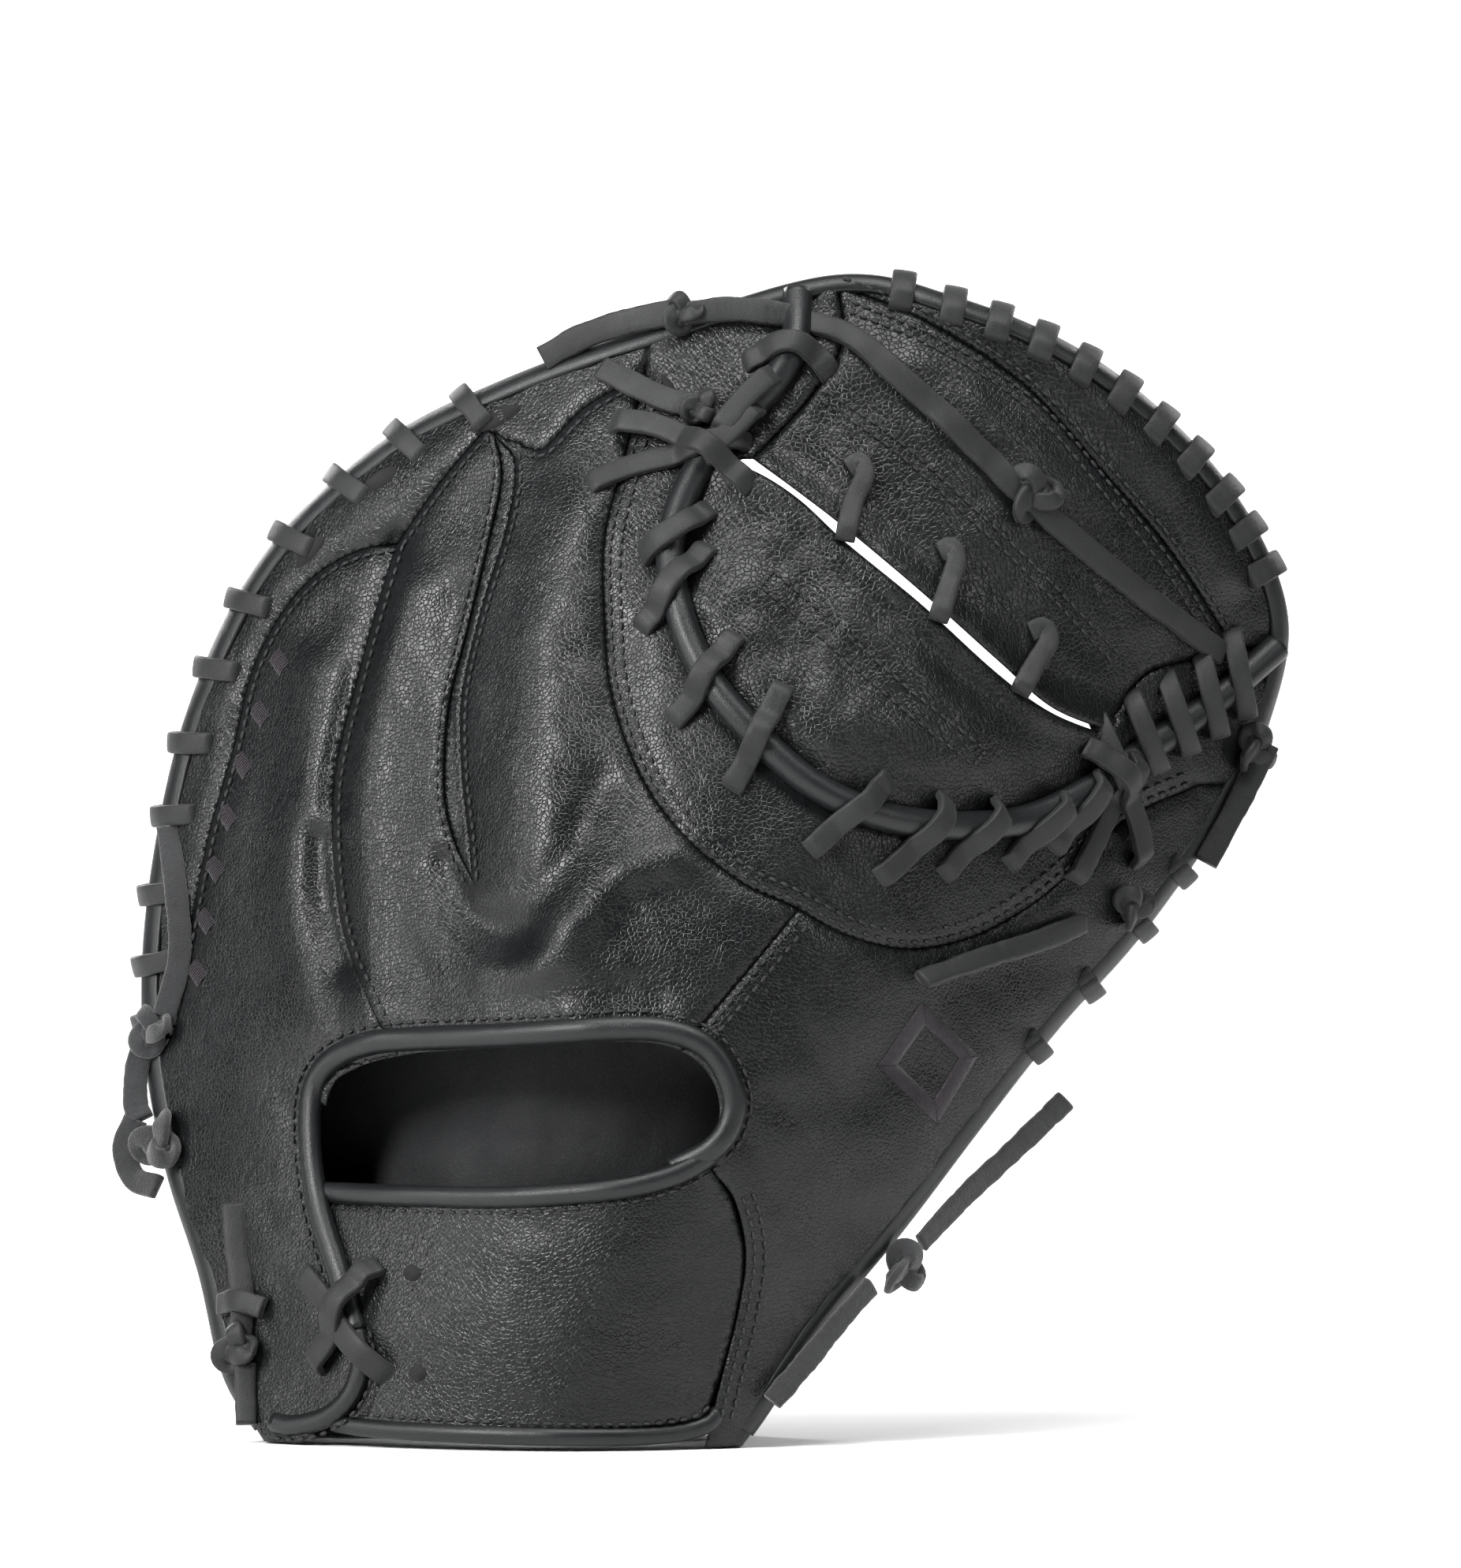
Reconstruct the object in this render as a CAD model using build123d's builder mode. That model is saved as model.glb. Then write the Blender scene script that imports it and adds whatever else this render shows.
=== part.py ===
"""Catcher's mitt for the left hand, in millimetres.

The mitt stands on its heel. +Z is up, towards the fingertips, +X is the thumb side, and the back of
the mitt faces -Y, so the pocket opens towards +Y. The origin is on the ground, under the middle of
the mitt. Every leather piece is cut from a flat pattern, drawn in the X-Z plane, and draped between
two layers of the mitt, counted from its curved back face or from its curved palm face.
"""

import math
import os

from build123d import *

os.makedirs("parts", exist_ok=True)

# Driving dimensions
LEATHER = 2.5  # back and palm leather
LINING = 1.5
LACE_WIDTH = 6.3
LACE_THICK = 2.2
RIM_THICK = 30.0  # back face to palm face at the laced rim
BODY_THICK = 56.0  # the same, where a hand lies between them
BINDING = 2.5  # binding around the rim
WEB_THICK = 5.0
POCKET_THICK = 9.0
PAD_THICK = 16.0  # felt between the hand and the palm leather
HEEL_PAD_THICK = 21.0
HEEL_FRONT_Y = 10.5  # the flat front of the heel
BACK_LOW_Y = -75.5  # the back over the knuckles
CLOSING_ANGLE = 25.0  # how far the thumb side folds towards the fingers
FOLD_GAP = 0.6  # each side of the fold
WELT_RISE = 3.2
LACE_HOLE_R = 2.5
LACE_FOOT_R = 2.1
REACH = 300.0  # longer than the mitt in any direction
CRUMB = 20.0  # mm3: smaller offcuts are swept away

AWAY = (0, 1, 0)  # from the back of the mitt to its palm

# The fold: a hinge line from the heel to the middle of the web
FOLD_FOOT = (3.0, 4.0)  # x, z
FOLD_FOOT_Y = -65.5
FOLD_RISE = (0.2726, 0.9621)  # unit vector in X-Z
FOLD_LEAN = 0.25  # Y gained for each millimetre along the fold

# Outline of the mitt as seen from the back, clockwise from the heel
OUTLINE = [
    (-116, 0), (-127, 17), (-134, 44), (-144, 74), (-150, 110), (-148, 150), (-138, 195),
    (-118, 236), (-87, 266), (-52, 284), (-12, 298), (37, 312), (70, 306), (103, 292), (130, 271),
    (150, 246), (160, 219), (155, 192), (143, 167), (120, 135), (97, 110), (76, 84), (55, 57),
    (35, 33), (18, 8), (12, 0),
]  # fmt: skip

POCKET = [(34, 148), (60, 190), (104, 240)]  # the thin middle of the palm, up to the web
POCKET_HALF_WIDTH = 20.0
POCKET_SLOPE = 40.0

# ------------------------------------------------------------- the curved faces


def fold_coordinates(x, z):
    """Distance across the fold line, thumb side positive, and distance along it."""
    dx, dz = x - FOLD_FOOT[0], z - FOLD_FOOT[1]
    across = dx * FOLD_RISE[1] - dz * FOLD_RISE[0]
    along = dx * FOLD_RISE[0] + dz * FOLD_RISE[1]
    return across, along


def step(value):
    """Smooth step from 0 to 1."""
    value = min(1.0, max(0.0, value))
    return value * value * (3 - 2 * value)


def back_y(x, z):
    """Y of the back's outer face: a bowl, lowest over the knuckles and straight at the wrist."""
    depth, flatten = 110.0, 0.6
    across, along = fold_coordinates(x, z)
    side = (across + 35.0) / (147.0 if across < -35.0 else 130.0)
    rise = max(0.0, along - 40.0) / 340.0
    r2 = (abs(side) ** 2.5 + rise**2.5) ** 0.8
    return BACK_LOW_Y + depth * (1 + flatten) * r2 / (1 + flatten * r2)


def distance_to_line(x, z, line):
    """Shortest distance from a point to an open polyline."""
    best = REACH
    for (ax, az), (bx, bz) in zip(line, line[1:]):
        length2 = (bx - ax) ** 2 + (bz - az) ** 2
        share = ((x - ax) * (bx - ax) + (z - az) * (bz - az)) / length2
        share = min(1.0, max(0.0, share))
        gap = math.hypot(x - ax - share * (bx - ax), z - az - share * (bz - az))
        best = min(best, gap)
    return best


def is_inside(x, z, edge):
    """Whether a point is inside a closed polyline."""
    crossings = 0
    for (ax, az), (bx, bz) in zip(edge, edge[1:] + edge[:1]):
        if (az > z) != (bz > z) and x < ax + (z - az) * (bx - ax) / (bz - az):
            crossings += 1
    return crossings % 2 == 1


def palm_y(x, z):
    """Y of the palm's outer face: thick over the hand, thin in the pocket, flat at the heel."""
    sides = OUTLINE[:-1]  # the foot on the ground doesn't thin the heel
    inside = distance_to_line(x, z, sides) if is_inside(x, z, OUTLINE) else 0.0
    thick = RIM_THICK + (BODY_THICK - RIM_THICK) * step(inside / 40.0)
    off_pocket = distance_to_line(x, z, POCKET) - POCKET_HALF_WIDTH
    thick = thick + (POCKET_THICK - thick) * (1 - step(off_pocket / POCKET_SLOPE))
    palm = back_y(x, z) + thick
    return palm + (HEEL_FRONT_Y - palm) * (1 - step(z / 80.0))


def curved_face(depth_at, columns, rows):
    """Smooth face through a grid of points, larger than the mitt."""
    low_x, high_x, low_z, high_z = -185.0, 185.0, -25.0, 335.0
    grid = []
    for i in range(columns):
        x = low_x + (high_x - low_x) * i / (columns - 1)
        heights = [low_z + (high_z - low_z) * j / (rows - 1) for j in range(rows)]
        grid.append([Vector(x, depth_at(x, z), z) for z in heights])
    return Face.make_surface_from_array_of_points(grid, tol=0.1, min_deg=3, max_deg=3)


BACK = curved_face(back_y, 19, 18)
PALM = curved_face(palm_y, 23, 22)


def layer(face, depth):
    """The curved face moved by a depth towards the palm."""
    return face.moved(Location((0, depth, 0)))


# ------------------------------------------------------------- flat patterns, in X-Z


def pattern(points, within=None, without=(), smooth=False):
    """A flat cutting pattern, trimmed by other patterns."""
    with BuildSketch() as cut:
        with BuildLine():
            if smooth:
                Spline(*points, periodic=True)
            else:
                Polyline(*points, close=True)
        make_face()
        if within is not None:
            add(within.sketch, mode=Mode.INTERSECT)
        for other in without:
            add(other.sketch, mode=Mode.SUBTRACT)
    return cut


def punched(cut, holes):
    """A pattern with round holes for laces."""
    with BuildSketch() as leather:
        add(cut.sketch)
        with Locations(*holes):
            Circle(LACE_HOLE_R, mode=Mode.SUBTRACT)
    return leather


def band(points, width, within=None, without=()):
    """A strip of constant width along a smooth open line."""
    with BuildSketch() as strip:
        with BuildLine() as middle:
            Spline(*points)
        trace(middle.line, line_width=width)
        if within is not None:
            add(within.sketch, mode=Mode.INTERSECT)
        for other in without:
            add(other.sketch, mode=Mode.SUBTRACT)
    return strip


def inset(points, amount):
    """Points of a clockwise edge moved inwards, square to the line through their neighbours."""
    moved = []
    for i, (x, z) in enumerate(points):
        ax, az = points[i - 1]
        bx, bz = points[(i + 1) % len(points)]
        length = math.hypot(bx - ax, bz - az)
        moved.append((x + amount * (bz - az) / length, z - amount * (bx - ax) / length))
    return moved


def difference(cut, *others):
    """What is left of a pattern outside the others."""
    with BuildSketch() as rest:
        add(cut.sketch)
        for other in others:
            add(other.sketch, mode=Mode.SUBTRACT)
    return rest


def bars(ends, width=LACE_WIDTH):
    """Straight laces with square ends, one for each pair of end points."""
    with BuildSketch() as straight:
        for (ax, az), (bx, bz) in ends:
            turn = math.degrees(math.atan2(bz - az, bx - ax))
            with Locations(Location(((ax + bx) / 2, (az + bz) / 2, 0), turn)):
                Rectangle(math.hypot(bx - ax, bz - az) + width * 0.7, width)
    return straight


def dots(centres, radius):
    """Round knots or the feet of laces."""
    with BuildSketch() as spots:
        with Locations(*centres):
            Circle(radius)
    return spots


# ------------------------------------------------------------- draping


def drape(cut, near, far, side=None, without=()):
    """Solid between two layers, each a (face, depth), on one side of the fold if one is given."""
    with BuildPart() as piece:
        with BuildSketch(Plane.XZ):
            add(cut.sketch)
        extrude(amount=REACH, both=True)
        extrude(layer(*near), amount=REACH, dir=AWAY, mode=Mode.INTERSECT)
        extrude(layer(*far), amount=-REACH, dir=AWAY, mode=Mode.INTERSECT)
        if side is not None:
            add(side.part, mode=Mode.INTERSECT)
        for other in without:
            add(other.part, mode=Mode.SUBTRACT)
    return piece


def back_layer(cut, near, far, side=None, without=()):
    """Solid between two depths under the back face."""
    return drape(cut, (BACK, near), (BACK, far), side, without)


def save(name, *pieces):
    """Writes one node, of one or more separate solids."""
    solids = [solid for piece in pieces for solid in piece.part.solids() if solid.volume > CRUMB]
    node = Compound(children=solids) if len(solids) > 1 else solids[0]
    node.label = name
    export_step(node, f"parts/{name}.step")
    volumes = sorted(round(solid.volume) for solid in solids)
    print(f"{name}: {len(solids)} solids, volumes {volumes}")


# The two sides of the fold open in a V in front of the hinge line, so that the mitt can close.
FOLD_PLANE = Plane(
    origin=(FOLD_FOOT[0], FOLD_FOOT_Y, FOLD_FOOT[1]),
    x_dir=(FOLD_RISE[1], 0, -FOLD_RISE[0]),
    z_dir=(FOLD_RISE[0], FOLD_LEAN, FOLD_RISE[1]),
)
HALF_V = REACH * math.tan(math.radians(CLOSING_ANGLE / 2 + 0.8))


def fold_side(sign):
    """Everything on one side of the fold: sign 1 is the thumb's, -1 is the fingers'."""
    with BuildPart() as half:
        with BuildSketch(FOLD_PLANE.offset(-REACH)):
            with BuildLine():
                Polyline(
                    (sign * FOLD_GAP, -REACH),
                    (sign * REACH, -REACH),
                    (sign * REACH, REACH),
                    (sign * (FOLD_GAP + HALF_V), REACH),
                    (sign * FOLD_GAP, 0),
                    close=True,
                )
            make_face()
        extrude(amount=3 * REACH)
    return half


FINGER_SIDE = fold_side(-1)
THUMB_SIDE = fold_side(1)
with BuildPart() as FOLD_WEDGE:
    with BuildSketch(FOLD_PLANE.offset(-REACH)):
        with BuildLine():
            Polyline((0, 0), (HALF_V, REACH), (-HALF_V, REACH), close=True)
        make_face()
    extrude(amount=3 * REACH)

# ------------------------------------------------------------- seams and regions



def standing_shape(points):
    """A smooth edge closed by a straight foot on the ground."""
    with BuildSketch() as shape:
        with BuildLine():
            Spline(*points)
            Line(points[-1], points[0])
        make_face()
    return shape


rim = standing_shape(OUTLINE)
inner_edge = inset(OUTLINE, BINDING)
inner_edge[0] = (OUTLINE[0][0] + BINDING, 0)
inner_edge[-1] = (OUTLINE[-1][0] - BINDING, 0)
body = standing_shape(inner_edge)
floor_strip = pattern([(-150, -10), (60, -10), (60, 2.6), (-150, 2.6)])

# The web is everything beyond the arc of the crotch welt
WELT = [
    (27, 308), (26, 294), (20, 283), (10, 272), (-1, 258), (-7, 240), (-4, 220), (4, 203),
    (17, 188), (31, 176), (48, 168), (67, 165), (86, 166), (101, 172), (115, 181), (129, 190),
    (143, 200), (157, 212),
]  # fmt: skip
web_region = pattern(WELT + [(190, 240), (190, 340), (27, 340)], within=body)
welt = band(WELT, 6.0, within=body)

WELT_STAPLES = [
    ((-14, 238), (4, 251)), ((-16, 216), (3, 236)), ((-7, 192), (11, 216)), ((9, 171), (24, 201)),
    ((31, 152), (45, 178)), ((50, 147), (65, 174)), ((66, 148), (80, 174)), ((82, 151), (94, 178)),
]  # fmt: skip
UPPER_X = [((-22, 272), (15, 254.5)), ((-30, 257), (12, 266.5))]
LOWER_X = [((105, 182), (117, 155)), ((111, 186), (103, 148))]
staple_holes = [point for pair in WELT_STAPLES for point in pair]
cross_holes = [point for pair in UPPER_X + LOWER_X for point in pair]

LOWER_WEB_TOP = [
    (8, 263), (25, 256), (37, 245), (52, 231), (67, 218), (82, 205), (97, 194), (112, 187),
]  # fmt: skip
lower_web = pattern(
    LOWER_WEB_TOP + [(112, 160), (60, 150), (0, 170), (-25, 240)],
    within=web_region,
    without=[welt],
)
UPPER_WEB = [
    (17, 265), (33, 252), (50, 238), (67, 224), (84, 211), (99, 201), (113, 195), (121, 205),
    (146, 211), (128, 238), (110, 259), (88, 283), (62, 300), (38, 310), (38, 293), (28, 278),
]  # fmt: skip
upper_web = pattern(UPPER_WEB, within=web_region, without=[welt])
WEB_SEAM = [(38, 310), (62, 300), (88, 283), (110, 259), (128, 238), (146, 211)]
web_band = pattern(
    [(x + 0.2, z + 0.2) for x, z in WEB_SEAM] + [(190, 215), (190, 340), (38, 340)],
    within=body,
    without=[welt, upper_web],
)

# Crescent between the welt and the double seam
SEAM_CRESCENT = [
    (-14, 286), (-20, 262), (-25, 242), (-25, 221), (-23, 200), (-15, 178), (-3, 162), (12, 150),
    (25, 144), (40, 136), (57, 132), (74, 135), (88, 142), (101, 152), (116, 166), (134, 174),
]  # fmt: skip
crescent = pattern(
    SEAM_CRESCENT + [(190, 178), (190, 250), (60, 240), (27, 340), (-10, 340)],
    within=body,
    without=[web_region, welt],
)

# The backs of the fingers
RIM_SEAM = [
    (-160, 92), (-146, 104), (-141, 119), (-137, 138), (-132, 162), (-126, 183), (-121, 204),
    (-114, 219), (-104, 231), (-92, 238), (-81, 240), (-69, 257), (-57, 271), (-46, 270),
    (-41, 266), (-30, 277), (-14, 286),
]  # fmt: skip
RIM_SLOTS = [(-54, 277), (-85, 257), (-107, 237), (-22, 288)]
rim_band = pattern(RIM_SEAM + [(-10, 340), (-160, 340)], within=body, without=[crescent])
STRIP = [(-52, 267), (-52, 245), (-59, 222), (-64, 200), (-64, 180), (-62, 162), (-60, 150)]
seam_strip = band(STRIP, 7.0, without=[rim_band])
VALLEY = [(-81, 241), (-91, 206), (-98, 174), (-96, 140), (-88, 118), (-80, 104)]
OPENING = [
    (-99, 92), (-91, 100), (-76, 104), (-52, 106), (-24, 108), (-8, 107), (2, 101), (6, 91),
    (3, 80), (-6, 73), (-24, 69), (-52, 67), (-80, 66), (-99, 70),
]  # fmt: skip
opening = pattern(OPENING, smooth=True)
middle_panel = pattern(
    VALLEY + [(-60, 100)] + STRIP[::-1] + [(-52, 290), (-81, 290)],
    within=body,
    without=[rim_band, seam_strip, opening],
)
SEAM_INDEX_FOOT = [(26, 142), (16, 130), (0, 111), (-6, 96)]
index_panel = pattern(
    STRIP + [(-60, 100)] + SEAM_INDEX_FOOT[::-1] + [(60, 200), (0, 300), (-52, 300)],
    within=body,
    without=[rim_band, seam_strip, middle_panel, crescent, web_region, welt, opening],
)

# The wrist strap and the flap that laces over its end
FLAP_EDGE = [(-103, 94), (-105, 79), (-102, 64), (-96, 48), (-91, 34), (-89, 21), (-95, 9), (-106, 0)]
X_LACE = [((-106, 46), (-83.5, 17.5)), ((-103, 20), (-87, 47))]
flap_holes = [(-106, 46), (-103, 20)]
strap_holes = flap_holes + [(-83.5, 17.5), (-87, 47), (-74, 19), (-76, 46)]
STRAP_SEAM = [(4, 74), (10, 66), (13, 52), (11, 36), (7, 20), (2, 0)]
pinky_panel = pattern(
    VALLEY + [(-96, 100)] + FLAP_EDGE + [(-108, -10), (-160, -10), (-170, 300), (-81, 300)],
    within=body,
    without=[rim_band, middle_panel, opening],
)
thumb_panel = pattern(
    STRAP_SEAM[::-1] + [(0, 76), (8, 91)] + SEAM_INDEX_FOOT[::-1] + [(60, 160), (200, 240), (200, -10)],
    within=body,
    without=[crescent, opening, index_panel, web_region, welt],
)

# ------------------------------------------------------------- back of the mitt

back_pieces = {
    "rim_band": punched(rim_band, RIM_SLOTS + cross_holes),
    "pinky_panel": punched(pinky_panel, flap_holes),
    "middle_finger_panel": punched(middle_panel, [(-74, 225), (-82, 201), (-84, 174)]),
    "index_panel": punched(index_panel, cross_holes),
}
for name, cut in back_pieces.items():
    save(name, back_layer(cut, 0, LEATHER, FINGER_SIDE))
save("finger_seam_strip", back_layer(seam_strip, -1.2, LEATHER))
laced_crescent = punched(crescent, staple_holes + cross_holes)
save("crescent_finger_side", back_layer(laced_crescent, 0, LEATHER, FINGER_SIDE))
save("crescent_thumb_side", back_layer(laced_crescent, 0, LEATHER, THUMB_SIDE))
laced_thumb = punched(thumb_panel, [pair[1] for pair in LOWER_X])
save("thumb_panel", back_layer(laced_thumb, 0, LEATHER, THUMB_SIDE))
save("hinge_gusset", back_layer(thumb_panel, 0, LEATHER, FINGER_SIDE))

above_strap = pattern([(-110, 79), (20, 79), (20, 130), (-110, 130)])
opening_edge = difference(opening, pattern(inset(OPENING, 5.0), smooth=True))
with BuildSketch() as opening_binding:
    add(opening_edge.sketch)
    add(above_strap.sketch, mode=Mode.INTERSECT)
save("hand_opening_binding", back_layer(opening_binding, -4.0, LEATHER + 1, FINGER_SIDE))
flap_binding = band([(x + 1.6, z) for x, z in FLAP_EDGE[1:7]], 3.2, without=[pinky_panel])
save("flap_binding", back_layer(flap_binding, -3.0, LEATHER))

# ------------------------------------------------------------- linings, padding and palm

# The hand lies between the back lining and the palm lining
HAND = [
    (-112, -10), (-112, 0), (-128, 80), (-130, 130), (-120, 180), (-98, 222), (-70, 245), (-45, 245),
    (-36, 215), (-32, 190), (-22, 165), (-14, 146), (-4, 126), (4, 108), (14, 88), (20, 60), (10, -10),
]  # fmt: skip
THUMB_STALL = [
    (-2, -10), (34, 112), (60, 122), (84, 130), (98, 134), (86, 112), (66, 88), (46, 62), (30, 40),
    (22, 26), (19, -10),
]  # fmt: skip
hand = pattern(HAND, within=body)
thumb_stall = pattern(THUMB_STALL, within=body)
strap_zone = pattern(
    [(-130, 80), (-104, 82), (-104, 110), (8, 110), (34, 60), (30, -20), (-130, -20)]
)
back_lining = pattern(HAND, within=body, without=[strap_zone, opening])
save("back_lining", back_layer(back_lining, LEATHER, LEATHER + LINING, FINGER_SIDE))
thumb_lining = pattern(THUMB_STALL, within=thumb_panel)
save("thumb_lining", back_layer(thumb_lining, LEATHER, LEATHER + LINING, THUMB_SIDE))

palm = difference(body, web_region, welt)
roll = difference(body, web_region, welt, hand, thumb_stall)
heel_zone = pattern([(-150, -10), (60, -10), (60, 61), (-150, 61)])
below_back = (BACK, LEATHER + LINING)
under_palm = (PALM, -LEATHER)
save("palm_leather_finger_side", drape(palm, under_palm, (PALM, 0), FINGER_SIDE))
save("palm_leather_thumb_side", drape(palm, under_palm, (PALM, 0), THUMB_SIDE))
palm_break = difference(palm, floor_strip)
save("palm_leather_break", drape(palm_break, under_palm, (PALM, 0), FOLD_WEDGE))
save("finger_rim_roll", drape(roll, below_back, under_palm, FINGER_SIDE))
save("thumb_rim_roll", drape(roll, below_back, under_palm, THUMB_SIDE))

palm_pad = difference(hand, heel_zone)
heel_pad = pattern([(-112, 0), (-122, 60.6), (40, 60.6), (12, 0)], within=hand)
lining_bed = (PALM, -LEATHER - PAD_THICK)
lining_face = (PALM, -LEATHER - PAD_THICK - LINING)
save("palm_pad", drape(palm_pad, lining_bed, under_palm, FINGER_SIDE))
save("palm_lining", drape(palm_pad, lining_face, lining_bed, FINGER_SIDE))
heel_bed = (PALM, -LEATHER - HEEL_PAD_THICK)
save("heel_pad", drape(heel_pad, heel_bed, under_palm, FINGER_SIDE))
save("thumb_pad", drape(thumb_stall, (PALM, -LEATHER - 12), under_palm, THUMB_SIDE))

# ------------------------------------------------------------- web

laced_web = punched(lower_web, staple_holes + cross_holes)
for side_name, side in (("finger_side", FINGER_SIDE), ("thumb_side", THUMB_SIDE)):
    save(f"crotch_welt_{side_name}", back_layer(welt, -WELT_RISE, LEATHER, side))
    save(f"web_lower_panel_{side_name}", back_layer(laced_web, 0, WEB_THICK, side))
    save(f"web_upper_panel_{side_name}", back_layer(upper_web, 0, WEB_THICK, side))
    save(f"web_outer_band_{side_name}", back_layer(web_band, 0, WEB_THICK, side))

# ------------------------------------------------------------- wrist strap

STRAP_DEPTH = LEATHER + 0.4
STRAP_FACE = STRAP_DEPTH + LEATHER
strap = pattern(
    [(-111, 62), (-52, 63), (-24, 65), (-6, 69), (2, 73)]
    + [(x - 1.2, z) for x, z in STRAP_SEAM[1:5]]
    + [(1.5, 6), (-111, 6)],
    within=body,
)
strap_top = band([(-96, 66.2), (-52, 66.4), (-24, 68.4), (-6, 72.6)], 6.0, without=[strap])
strap_foot = band([(-82, 3.6), (-40, 3.4), (-1, 3.4)], 5.0, without=[strap])
laced_strap = punched(strap, strap_holes)
save("wrist_strap", back_layer(laced_strap, STRAP_DEPTH, STRAP_FACE))
save("wrist_strap_lining", back_layer(laced_strap, STRAP_FACE, STRAP_FACE + LINING))
save("strap_top_binding", back_layer(strap_top, 0.5, STRAP_FACE + LINING + 1.5))
save("strap_foot_binding", back_layer(strap_foot, STRAP_DEPTH - 1, STRAP_FACE + LINING + 1))

# ------------------------------------------------------------- laces


def surface_lace(cut, side=None):
    """Flat laces lying on the back."""
    return back_layer(cut, -LACE_THICK, 0, side)


def staples(ends, height):
    """Flat laces bridging the welt, with a foot down through the leather at each end."""
    feet = dots([point for pair in ends for point in pair], LACE_FOOT_R)
    top = back_layer(bars(ends), -height - LACE_THICK, -height)
    with BuildPart() as bridge:
        add(top.part)
        add(back_layer(feet, -height - 0.1, LEATHER + LINING - 0.3).part)
    return bridge


def edge_bars(points, inward, outward):
    """Short bars square to the outline, at the points of it nearest to those given."""
    ends = []
    for x, z in points:
        spot = min(OUTLINE, key=lambda p: math.hypot(p[0] - x, p[1] - z))
        index = OUTLINE.index(spot)
        ax, az = OUTLINE[max(0, index - 1)]
        bx, bz = OUTLINE[min(len(OUTLINE) - 1, index + 1)]
        length = math.hypot(bx - ax, bz - az)
        nx, nz = -(bz - az) / length, (bx - ax) / length
        ends.append(((x - nx * inward, z - nz * inward), (x + nx * outward, z + nz * outward)))
    return bars(ends)


rim_block = back_layer(rim, 0, RIM_THICK)


def rim_loops(points, side):
    """Laces that wrap over the rim, from the back to its edge."""
    loops = edge_bars(points, 9.0, 1.2)
    return back_layer(loops, -LACE_THICK, POCKET_THICK, side, [rim_block])


LEFT_LOOPS = [
    (-62, 280), (-80, 271), (-97, 259), (-112, 244), (-125, 225), (-133, 205), (-139, 185),
    (-144, 165), (-148, 143), (-149, 122),
]  # fmt: skip
TOP_LOOPS = [(50, 311), (62, 309)]
WEB_LOOPS = [(95, 297), (107, 290), (119, 281), (131, 270), (142, 258), (151, 245), (156, 233)]
THUMB_LOOPS = [(132, 151), (106, 120), (92, 104)]
save("rim_lace_fingers", rim_loops(LEFT_LOOPS, FINGER_SIDE))
save("rim_lace_web_finger_side", rim_loops(TOP_LOOPS, FINGER_SIDE))
save("rim_lace_web_thumb_side", rim_loops(WEB_LOOPS, THUMB_SIDE))
save("rim_lace_thumb", rim_loops(THUMB_LOOPS, THUMB_SIDE))

binding_edge = difference(rim, body, floor_strip)
save("rim_binding_finger_side", back_layer(binding_edge, 0, POCKET_THICK, FINGER_SIDE))
save("rim_binding_thumb_side", back_layer(binding_edge, 0, POCKET_THICK, THUMB_SIDE))

BRIDGE = WELT_RISE + 0.3
save("welt_lace_finger_side", staples(WELT_STAPLES[:5], BRIDGE))
save("welt_lace_thumb_side", staples(WELT_STAPLES[5:], BRIDGE))
save("upper_x_lace", staples(UPPER_X[:1], BRIDGE), staples(UPPER_X[1:], BRIDGE + LACE_THICK + 0.3))
save("lower_x_lace", staples(LOWER_X[:1], BRIDGE), staples(LOWER_X[1:], BRIDGE + LACE_THICK + 0.3))

wrist_lower = staples(X_LACE[:1], BRIDGE)
wrist_upper = staples(X_LACE[1:], BRIDGE + LACE_THICK + 0.3)
save("wrist_x_lace", wrist_lower, wrist_upper)

STRAND = [(28, 300), (46, 291), (67, 274), (80, 261), (97, 242), (114, 227), (131, 217), (143, 210)]
strand = band(STRAND, LACE_WIDTH, within=web_region, without=[welt])
save("web_strand_finger_side", surface_lace(strand, FINGER_SIDE))
knot_spot = dots([(89, 251)], 7.0)
with BuildSketch() as strand_and_knot:
    add(strand.sketch)
    add(knot_spot.sketch)
save("web_strand_thumb_side", surface_lace(strand_and_knot, THUMB_SIDE))

# Ties that hold the upper web panel to the lower one, across the slit
WEB_TIES = [((40.6, 257), (39.5, 240)), ((57.5, 242), (56.5, 226)), ((89.5, 213.6), (86, 198.7))]
save("web_ties_finger_side", surface_lace(bars(WEB_TIES[:2])))
save("web_tie_thumb_side", surface_lace(bars(WEB_TIES[2:])))


def knot(x, z, radius, height):
    """A flattened ball of lace on the back."""
    return back_layer(dots([(x, z)], radius), -height, 0)


def tail(points, side=None):
    """A lace end lying on the back."""
    return surface_lace(band(points, LACE_WIDTH), side)


def edge_loop(points, y, width=LACE_WIDTH):
    """A lace on its edge that stands clear of the rim."""
    with BuildPart() as ribbon:
        with BuildSketch(Plane.XZ.offset(-y)):
            with BuildLine() as middle:
                Spline(*points)
            trace(middle.line, line_width=LACE_THICK)
        extrude(amount=width / 2, both=True)
    return ribbon


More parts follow.
